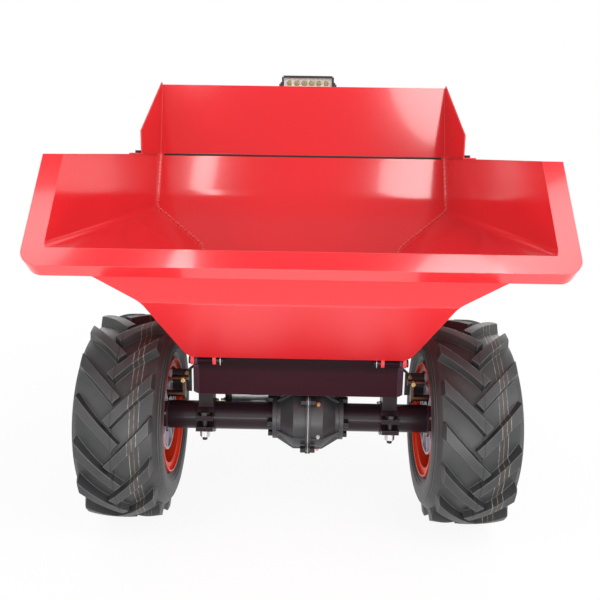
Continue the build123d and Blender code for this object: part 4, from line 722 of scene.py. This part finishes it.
def lampInside():
    s = lampSet
    x, y, z = s["middle"]
    cups = fresh(bpy.ops.mesh.primitive_grid_add, x_subdivisions=s["columns"], y_subdivisions=s["rows"],
                 size=1.0)
    bpy.ops.transform.resize(value=(s["width"], s["height"], 1.0))
    pick(cups, "FACE", lambda spot, lean: True)
    for thickness, depth in s["steps"]:
        bpy.ops.mesh.inset(thickness=thickness, depth=depth, use_individual=True)
    closeEdit()
    softened(cups, s["soft"])
    setDown(cups, "lampReflector", "lamp", reflector, [at(x, y, z, (90, "X"))])
    dome = fresh(bpy.ops.mesh.primitive_uv_sphere_add, segments=s["diodeSegments"],
                 ring_count=s["diodeRings"], radius=s["diodeRadius"])
    bpy.ops.mesh.bisect(plane_co=(0, 0, 0), plane_no=(0, 0, 1), clear_inner=True, use_fill=True)
    bpy.ops.mesh.select_all(action="SELECT")
    bpy.ops.transform.resize(value=(1.0, 1.0, s["diodeFlat"]))
    closeEdit()
    columns = [x + (c - (s["columns"] - 1) / 2) * s["pitchX"] for c in range(s["columns"])]
    setDown(dome, "lampDiodes", "lamp", ledYellow,
            [at(column, s["diodeY"], z + row, (90, "X")) for column in columns for row in s["rowsZ"]])
    putAway(cups, dome)


lampInside()
print("lamp inside made")

# Console: charge gauge with dial, ticks and needle, collar for the key, frame for the rocker
consoleSet = {"y": 0.53487, "z": 0.865, "tilt": -37.48}
gaugeSet = {"x": -0.008,
            "bezel": {"around": 48, "rings": [(0.0205, -0.0005), (0.0205, 0.003), (0.0195, 0.0042),
                                              (0.0175, 0.0042), (0.0168, 0.0018)]},
            "dial": {"around": 48, "rings": [(0.0166, 0.0), (0.0166, 0.0022), (0.016, 0.0024)]},
            "pivot": {"around": 20, "rings": [(0.0022, 0.0024), (0.0022, 0.0036), (0.0014, 0.0042)]},
            "tick": (0.0006, 0.0026, 0.0005), "tickTaper": (0.7, 0.9, 1.0),
            "tickTurns": range(-60, 61, 15), "tickPlace": (0.0, 0.0128, 0.0025),
            "needle": (0.0011, 0.0125, 0.0006), "needleTaper": (0.3, 1.0, 0.6), "needleTurn": 32.0,
            "needlePlace": (0.0, 0.0045, 0.0032), "zeroTurn": 180}
collarSet = {"x": -0.06, "hole": 0.001,
             "form": {"around": 40, "rings": [(0.0138, -0.0003), (0.0138, 0.0018), (0.0128, 0.0026),
                                              (0.0112, 0.0026), (0.0106, 0.002)]}}
rockerSet = {"x": 0.045, "size": (0.0272, 0.0338, 1.0), "rim": 0.0038, "rise": 0.0022, "soft": 0.0008}


def consolePlace(x):
    s = consoleSet
    return at(x, s["y"], s["z"], (s["tilt"], "X"))


def chargeGauge():
    s = gaugeSet
    middle = consolePlace(s["x"])
    bezel = turned(**s["bezel"])
    setDown(bezel, "gaugeBezel", "chassis", zincPlate, [middle])
    dial = turned(**s["dial"])
    setDown(dial, "gaugeDial", "chassis", dialFace, [middle])
    tick = freshBlock(s["tick"])
    pickFacing(tick)
    bpy.ops.transform.resize(value=s["tickTaper"])
    closeEdit()
    setDown(tick, "gaugeTicks", "chassis", blackPlastic,
            [middle @ spun(s["zeroTurn"] + turn, "Z") @ Matrix.Translation(s["tickPlace"])
             for turn in s["tickTurns"]])
    needle = freshBlock(s["needle"])
    pickFacing(needle, (0, 1, 0))
    bpy.ops.transform.resize(value=s["needleTaper"])
    closeEdit()
    swing = spun(s["zeroTurn"] + s["needleTurn"], "Z") @ Matrix.Translation(s["needlePlace"])
    setDown(needle, "gaugeNeedle", "chassis", needleRed, [middle @ swing])
    pivot = turned(**s["pivot"])
    setDown(pivot, "gaugePivot", "chassis", blackPlastic, [middle])
    putAway(bezel, dial, tick, needle, pivot)


def keyCollar():
    s = collarSet
    collar = turned(**s["form"])
    activate(collar)
    bpy.ops.object.mode_set(mode="EDIT")
    pick(collar, "FACE", lambda spot, lean: abs(lean.z) > helperSet["facing"]
         and spot.xy.length < s["hole"])
    bpy.ops.mesh.delete(type="FACE")
    bpy.ops.object.mode_set(mode="OBJECT")
    setDown(collar, "keyCollar", "chassis", zincPlate, [consolePlace(s["x"])])
    putAway(collar)


def rockerFrame():
    s = rockerSet
    rim = fresh(bpy.ops.mesh.primitive_plane_add, size=1.0)
    bpy.ops.transform.resize(value=s["size"])
    bpy.ops.mesh.inset(thickness=s["rim"])
    bpy.ops.mesh.delete(type="ONLY_FACE")
    bpy.ops.mesh.select_all(action="SELECT")
    extrudeBy(s["rise"])
    closeEdit()
    softened(rim, s["soft"], segments=3)
    setDown(rim, "rockerFrame", "chassis", blackPlastic, [consolePlace(s["x"])])
    putAway(rim)


chargeGauge()
keyCollar()
rockerFrame()
print("console controls made")

# Socket-head screws, terminal studs and nuts that repeat over the machine
screwSet = {"form": {"around": 18, "rings": [(0.004, -0.001), (0.004, 0.0034), (0.0034, 0.004),
                                             (0.0021, 0.004), (0.0021, 0.0018)]},
            "lampX": 0.0766, "lampY": 0.4569, "lampZ": 0.0276, "lampSize": 0.52,
            "consoleX": 0.11, "consoleY": (0.404, 0.488), "consoleZ": 0.888, "consoleSize": 0.9,
            "bracketX": 0.03, "bracketY": 0.47387, "bracketZ": 0.892,
            "motor": {"ring": 0.045, "count": 6, "start": 30, "size": 0.85}}
studSet = {"form": {"around": 6, "rings": [(0.0062, -0.001), (0.0062, 0.0012), (0.0048, 0.0012),
                                           (0.0048, 0.0062), (0.0027, 0.0062), (0.0027, 0.0118),
                                           (0.002, 0.0126)]},
           "motor": {"ring": 0.024, "count": 3, "start": 90}, "controllerY": 0.07987,
           "controllerZ": 0.315, "controllerPitch": 0.024, "controllerCount": 5}
motorEnd = (-0.154, -0.32313, 0.222)


def roundMotor(ring, count, start, size=1.0):
    x, y, z = motorEnd
    turns = [math.radians(360 // count * n + start) for n in range(count)]
    return [at(x, y + ring * math.cos(turn), z + ring * math.sin(turn), (-90, "Y"), size)
            for turn in turns]


def fasteners():
    s = screwSet
    screw = turned(**s["form"])
    x, z = lampSet["middle"][::2]
    setDown(screw, "lampScrews", "lamp", zincPlate,
            [at(x + a * s["lampX"], s["lampY"], z + b * s["lampZ"], (90, "X"), s["lampSize"])
             for a in (-1, 1) for b in (-1, 1)])
    console = [at(a * s["consoleX"], b, s["consoleZ"], size=s["consoleSize"])
               for a in (-1, 1) for b in s["consoleY"]]
    console += [at(x + a * s["bracketX"], s["bracketY"], s["bracketZ"]) for a in (-1, 1)]
    setDown(screw, "consoleScrews", "chassis", blackBolt, console)
    setDown(screw, "motorScrews", "chassis", zincPlate, roundMotor(**s["motor"]))
    putAway(screw)


def terminals():
    s = studSet
    stud = turned(**s["form"])
    studs = roundMotor(**s["motor"])
    first = (1 - s["controllerCount"]) / 2
    studs += [at((first + n) * s["controllerPitch"], s["controllerY"], s["controllerZ"], (90, "X"))
              for n in range(s["controllerCount"])]
    setDown(stud, "terminalStuds", "chassis", brassTurned, studs)
    putAway(stud)


fasteners()
terminals()
print("fasteners made")

# Cable clips on the rails, with their profile in millimetres
clipSet = {"cableX": 0.20825, "cableZ": 0.29325, "places": (-0.19, -0.09, 0.0), "width": 0.009,
           "thickness": 0.0012, "soft": 0.0004,
           "profile": [(-2.6, 13.5), (-2.6, 9.0), (-2.6, 5.6), (-1.6, 4.1), (0.4, 3.8), (2.2, 3.1),
                       (3.4, 1.6), (3.75, 0.0), (3.4, -1.6), (2.2, -3.1), (0.4, -3.8), (-1.6, -4.1),
                       (-2.6, -5.4), (-2.6, -7.5)],
           "screwX": 0.0021, "screwZ": 0.0098, "screwSize": 0.75}


def cableClips():
    s = clipSet
    x, z = s["cableX"], s["cableZ"]
    strap = bentStrip([(a / perMetre, b / perMetre) for a, b in s["profile"]], s["width"],
                      s["thickness"], s["soft"])
    spots = [at(x, y, z) for y in s["places"]]
    setDown(strap, "cableClips", "chassis", zincPlate, spots + [mirrorX @ spot for spot in spots])
    screw = turned(**screwSet["form"])
    heads = [at(x - s["screwX"], y, z + s["screwZ"], (90, "Y"), s["screwSize"]) for y in s["places"]]
    setDown(screw, "clipScrews", "chassis", blackBolt, heads + [mirrorX @ head for head in heads])
    putAway(strap, screw)


# Ties that hold the cables to the handlebar's tubes
tieSet = {"barFoot": (0.185, 0.13987, 0.329), "barSlope": 0.57554, "barTurn": 60.08, "radius": 0.0167,
          "cableRadius": 0.0038, "spacing": 0.0192, "barSteps": 24, "cableSteps": 8, "width": 0.0046,
          "thickness": 0.0012, "soft": 0.0002,
          "heights": {-1: (0.45, 0.54, 0.63, 0.72), 1: (0.45, 0.54, 0.62)},
          "lock": (0.0062, 0.0056, 0.0046), "lockInset": 0.0012, "lockRise": 0.006, "lockSoft": 0.0005,
          "lockX": 0.006, "lockZ": -0.003}


# the outline round tube and cable, which leaves the tube where it runs straight to the cable
def tieLoop():
    s = tieSet
    leave = math.acos((s["radius"] - s["cableRadius"]) / s["spacing"])
    loop = []
    for n in range(s["barSteps"] + 1):
        turn = leave + (2 * math.pi - 2 * leave) * n / s["barSteps"]
        loop.append((s["radius"] * math.cos(turn), s["radius"] * math.sin(turn)))
    for n in range(s["cableSteps"] + 1):
        turn = -leave + 2 * leave * n / s["cableSteps"]
        x, z = s["cableRadius"] * math.cos(turn), s["cableRadius"] * math.sin(turn)
        loop.append((s["spacing"] + x, z))
    return loop + loop[:1]


def cableTies():
    s = tieSet
    loop = tieLoop()
    band = bentStrip(loop, s["width"], s["thickness"], s["soft"])
    lock = freshBlock(s["lock"])
    pickFacing(lock)
    bpy.ops.mesh.inset(thickness=s["lockInset"])
    extrudeBy(s["lockRise"])
    closeEdit()
    softened(lock, s["lockSoft"])
    x, y, z = s["barFoot"]
    rings = []
    for side, heights in s["heights"].items():
        for height in heights:
            place = at(x, y + s["barSlope"] * (height - z), height, (s["barTurn"], "X"))
            rings.append(mirrorX @ place if side < 0 else place)
    setDown(band, "cableTies", "chassis", blackPlastic, rings)
    beside = Matrix.Translation((loop[0][0] + s["lockX"], 0.0, loop[0][1] + s["lockZ"]))
    setDown(lock, "tieLocks", "chassis", blackPlastic, [ring @ beside for ring in rings])
    putAway(band, lock)


cableClips()
cableTies()
print("cable clips and ties made")

# Tyre valves through the rims
valveSet = {"x": 0.369, "reach": 0.0891, "turn": 140.0, "lean": 125.2,
            "stem": {"around": 20, "rings": [(0.0068, -0.002), (0.0068, 0.001), (0.006, 0.004),
                                             (0.0046, 0.009), (0.0042, 0.0175), (0.0036, 0.0185)]},
            "cap": {"around": 12, "rings": [(0.0034, 0.018), (0.0046, 0.0195), (0.0046, 0.0285),
                                            (0.0036, 0.03)]}}


def valves():
    s = valveSet
    stem = turned(**s["stem"])
    cap = turned(**s["cap"])
    spin = Matrix.Translation((0.0, wheelSet["axleY"], wheelSet["axleZ"])) @ spun(s["turn"], "X")
    right = spin @ at(s["x"], 0.0, s["reach"], (s["lean"], "Y"))
    for side, place in (("right", right), ("left", mirrorX @ right)):
        setDown(stem, "valveStem_" + side, "wheel_" + side, softRubber, [place])
        setDown(cap, "valveCap_" + side, "wheel_" + side, zincPlate, [place])
    putAway(stem, cap)


valves()
print("valves made")

# Raised rings on the tyres' sidewalls
ringSet = {"rings": [(0.0778, 0.129), (0.0803, 0.1355), (0.08, 0.1615), (0.0774, 0.1675)],
           "round": 0.0012, "corners": 8, "around": 80}


def sidewallRings():
    s = ringSet
    made = fresh(bpy.ops.mesh.primitive_circle_add, vertices=s["corners"], radius=s["round"],
                 fill_type="NOTHING")
    bpy.ops.transform.translate(value=(*s["rings"][0], 0.0))
    for (x, radius), (lastX, lastRadius) in zip(s["rings"][1:], s["rings"]):
        bpy.ops.mesh.duplicate()
        bpy.ops.transform.translate(value=(x - lastX, radius - lastRadius, 0.0))
    bpy.ops.mesh.select_all(action="SELECT")
    bpy.ops.mesh.spin(steps=s["around"], angle=2 * math.pi, center=(0.0, 0.0, 0.0), axis=(1.0, 0.0, 0.0))
    closeEdit()
    for side, hand in ((-1.0, "left"), (1.0, "right")):
        hub = at(side * wheelSet["x"], wheelSet["axleY"], wheelSet["axleZ"])
        setDown(made, "sidewallRings_" + hand, "wheel_" + hand, tyreRubber, [hub, hub @ mirrorX])
    putAway(made)


sidewallRings()
print("sidewall rings made")

# Battery lid: carrying strap (profile in millimetres) with a rubber sleeve, knobs and pressed ribs
lidSet = {"top": 0.517, "middleY": 0.27, "strapWidth": 0.024, "strapSheet": 0.003, "strapSoft": 0.0008,
          "strap": [(-76, 1.6), (-56, 1.6), (-49, 3.0), (-46, 8.0), (-43, 20.0), (-39, 25.0),
                    (-32, 26.5), (-10, 27.0), (10, 27.0), (32, 26.5), (39, 25.0), (43, 20.0),
                    (46, 8.0), (49, 3.0), (56, 1.6), (76, 1.6)],
          "sleeve": {"around": 28, "rings": [(0.0128, -0.036), (0.014, -0.034), (0.014, 0.034),
                                             (0.0128, 0.036)]},
          "sleeveRise": 0.027, "sleeveFlat": 0.42, "screwX": 0.066, "screwRise": 0.0031,
          "knob": {"around": 24, "rings": [(0.013, -0.0005), (0.013, 0.003), (0.0115, 0.0045),
                                           (0.0105, 0.0045), (0.0105, 0.0105), (0.009, 0.0125)]},
          "knobX": 0.138, "knobY": 0.207, "ribX": (-0.12, 0.12), "ribY": 0.295,
          "rib": (0.012, 0.13, 0.005), "ribTaper": (0.45, 0.92, 1.0), "ribSoft": 0.0012}


def lidFittings():
    s = lidSet
    y, top = s["middleY"], s["top"]
    strap = bentStrip([(a / perMetre, b / perMetre) for a, b in s["strap"]], s["strapWidth"],
                      s["strapSheet"], s["strapSoft"])
    setDown(strap, "lidHandle", "lid", zincPlate, [at(0.0, y, top)])
    sleeve = turned(**s["sleeve"])
    flat = Matrix.Scale(s["sleeveFlat"], 4, (0.0, 0.0, 1.0))
    setDown(sleeve, "lidHandleSleeve", "lid", softRubber,
            [at(0.0, y, top + s["sleeveRise"]) @ flat @ spun(90, "Y")])
    screw = turned(**screwSet["form"])
    setDown(screw, "lidScrews", "lid", blackBolt,
            [at(a * s["screwX"], y, top + s["screwRise"]) for a in (-1, 1)])
    knob = turned(**s["knob"])
    setDown(knob, "lidKnobs", "lid", blackPlastic,
            [at(a * s["knobX"], s["knobY"], top) for a in (-1, 1)])
    rib = freshBlock(s["rib"])
    pickFacing(rib)
    bpy.ops.transform.resize(value=s["ribTaper"])
    closeEdit()
    softened(rib, s["ribSoft"], segments=3)
    setDown(rib, "lidRibs", "lid", blackPaint, [at(x, s["ribY"], top) for x in s["ribX"]])
    putAway(strap, sleeve, screw, knob, rib)


lidFittings()
print("lid fittings made")

# Plastic caps in the open rear ends of the rails
capSet = {"x": 0.185, "y": 0.42987, "z": 0.293, "plate": (0.039, 0.059, 0.003), "inset": 0.004,
          "dome": 0.0018, "plug": -0.008, "soft": 0.001}


def railCaps():
    s = capSet
    cap = freshBlock(s["plate"])
    pickFacing(cap)
    bpy.ops.mesh.inset(thickness=s["inset"])
    raiseBy(s["dome"])
    pickFacing(cap, (0, 0, -1))
    bpy.ops.mesh.inset(thickness=s["inset"])
    extrudeBy(s["plug"])
    closeEdit()
    softened(cap, s["soft"])
    place = at(s["x"], s["y"] + s["plate"][2] / 2, s["z"], (-90, "X"))
    setDown(cap, "railCaps", "chassis", blackPlastic, [place, mirrorX @ place])
    putAway(cap)


railCaps()
print("rail caps made")

# Dark rubber strip under the headboard's foot, along the top of the rolled back: a dark sheet put in the
# gap as a painted shadow line
shadowGapSet = {"half": 0.372, "y": 0.1366, "z": 0.7262, "thick": 0.003, "high": 0.005, "soft": 0.001}


def shadowGapStrip():
    s = shadowGapSet
    strip = freshBlock((2 * s["half"], s["thick"], s["high"]))
    bpy.ops.transform.translate(value=(0.0, s["y"], s["z"]))
    pick(strip, "EDGE", lambda spot, lean: abs(lean.x) > helperSet["facing"] and spot.y < s["y"])
    bpy.ops.mesh.bevel(offset=s["soft"], segments=3)
    closeEdit()
    setDown(strip, "shadowGapStrip", "skip", softRubber, [Matrix.Identity(4)])
    putAway(strip)


shadowGapStrip()
print("seal made")

# Camera fitted to the photograph, in metres and radians, with its lens in pixels of a 600 pixel frame
cameraSet = {"place": (0.0013, -1.74468, 0.73085), "yaw": 0.0112, "pitch": 0.2177, "roll": -0.0156,
             "focalPixels": 683.52, "centrePixels": (292.6, 305.58), "framePixels": 600.0,
             "sensorMm": 36.0, "farthest": 60.0}


def aimCamera():
    s = cameraSet
    eye = bpy.data.cameras.new("photoCamera")
    eye.sensor_width = s["sensorMm"]
    eye.lens = s["focalPixels"] / s["framePixels"] * s["sensorMm"]
    eye.shift_x = 0.5 - s["centrePixels"][0] / s["framePixels"]
    eye.shift_y = s["centrePixels"][1] / s["framePixels"] - 0.5
    eye.clip_end = s["farthest"]
    holder = bpy.data.objects.new("photoCamera", eye)
    bpy.context.collection.objects.link(holder)
    turn = (Matrix.Rotation(s["yaw"], 4, "Z") @ Matrix.Rotation(math.pi / 2 - s["pitch"], 4, "X")
            @ Matrix.Rotation(-s["roll"], 4, "Z"))
    holder.matrix_world = Matrix.Translation(s["place"]) @ turn
    bpy.context.scene.camera = holder


# Studio: pale floor, pale world and soft boxes
studioSet = {"floorSize": 40.0, "paper": (0.9, 0.9, 0.9), "paperRough": 0.9, "paperSpecular": 0.1,
             "floorGlow": (0.9, 1.0), "glowReach": (1.0, 4.0), "white": (1.0, 1.0, 1.0),
             "worldLevel": 0.4}
# name, place, aim, size and watts of each soft box
softBoxes = [
    ("frontBox", (0.0, -3.3, 1.3), (0, -0.3, 0.5), (3.0, 1.6), 24.0),
    ("leftBox", (-2.5, -2.3, 1.9), (0, -0.3, 0.5), (2.4, 2.0), 24.0),
    ("rightBox", (2.5, -2.3, 1.9), (0, -0.3, 0.5), (2.4, 2.0), 40.0),
    ("windowLeft", (-0.68, -1.85, 2.95), (-0.2, 0.0, 0.6), (0.16, 0.7), 3.2),
    ("flangeLeft", (-1.3, -1.45, 2.82), (-0.4, -0.73, 0.6), (0.35, 0.5), 1.8),
    ("flangeRight", (1.27, -1.45, 2.85), (0.39, -0.73, 0.6), (0.7, 0.5), 3.8),
    ("windowRight", (0.9, -2.0, 2.8), (0.25, 0.0, 0.6), (0.7, 1.1), 16.0),
    ("lowBox", (0.0, -2.1, 0.12), (0, -0.6, 0.45), (1.8, 0.24), 11.0),
    ("sideLeft", (-2.7, -0.4, 2.1), (0, -0.3, 0.6), (1.8, 1.8), 9.0),
    ("sideRight", (2.7, -0.4, 2.1), (0, -0.3, 0.6), (1.8, 1.8), 16.0),
    ("rearLeft", (-2.0, 2.6, 2.0), (0, 0.2, 0.5), (2.2, 2.2), 44.0),
    ("rearRight", (2.0, 2.6, 2.0), (0, 0.2, 0.5), (2.2, 2.2), 44.0),
]


# paper that glows white for the rays that look at it, a little less round the barrow
def layFloor():
    s = studioSet
    bpy.ops.object.select_all(action="DESELECT")
    bpy.ops.mesh.primitive_plane_add(size=s["floorSize"])
    floor = bpy.context.object
    floor.name = "studioFloor"
    paper = Finish("studioPaper", Roughness=s["paperRough"], BaseColor=s["paper"],
                   SpecularIORLevel=s["paperSpecular"])
    seen = paper.rays("Is Camera Ray", "Is Glossy Ray", "Is Transmission Ray")
    x, y = paper.axes()[:2]
    share = paper.band((x * x + y * y) ** 0.5, *s["floorGlow"], *s["glowReach"])
    glow = paper.node("Emission", {}, {"Color": s["white"], "Strength": 1.0})
    matt = Wire(paper, paper.shader.outputs[0])
    mixed = paper.node("MixShader", {}, {0: seen * share, 1: matt, 2: glow})
    ending = next(n for n in paper.tree.nodes if n.type == "OUTPUT_MATERIAL")
    paper.feed(ending.inputs["Surface"], mixed)
    floor.data.materials.append(paper.material)


# white where the camera sees it, dimmer where it only lights
def lightWorld():
    world = bpy.data.worlds.new("studioWorld")
    world.use_nodes = True
    bpy.context.scene.world = world
    sky = Nodes(world.node_tree)
    back = sky.tree.nodes["Background"]
    seen = sky.rays("Is Camera Ray", "Is Transmission Ray")
    sky.feed(back.inputs["Color"], studioSet["white"])
    sky.feed(back.inputs["Strength"], sky.band(seen, studioSet["worldLevel"], 1.0))


def hangLamps():
    for name, place, aim, size, power in softBoxes:
        box = bpy.data.lights.new(name, "AREA")
        box.shape = "ELLIPSE"
        box.size, box.size_y = size
        box.energy = power
        holder = bpy.data.objects.new(name, box)
        bpy.context.collection.objects.link(holder)
        holder.location = place
        holder.rotation_euler = (Vector(aim) - Vector(place)).to_track_quat("-Z", "Y").to_euler()


aimCamera()
layFloor()
lightWorld()
hangLamps()
bpy.context.scene.view_settings.view_transform = "Standard"
print("camera and studio set")
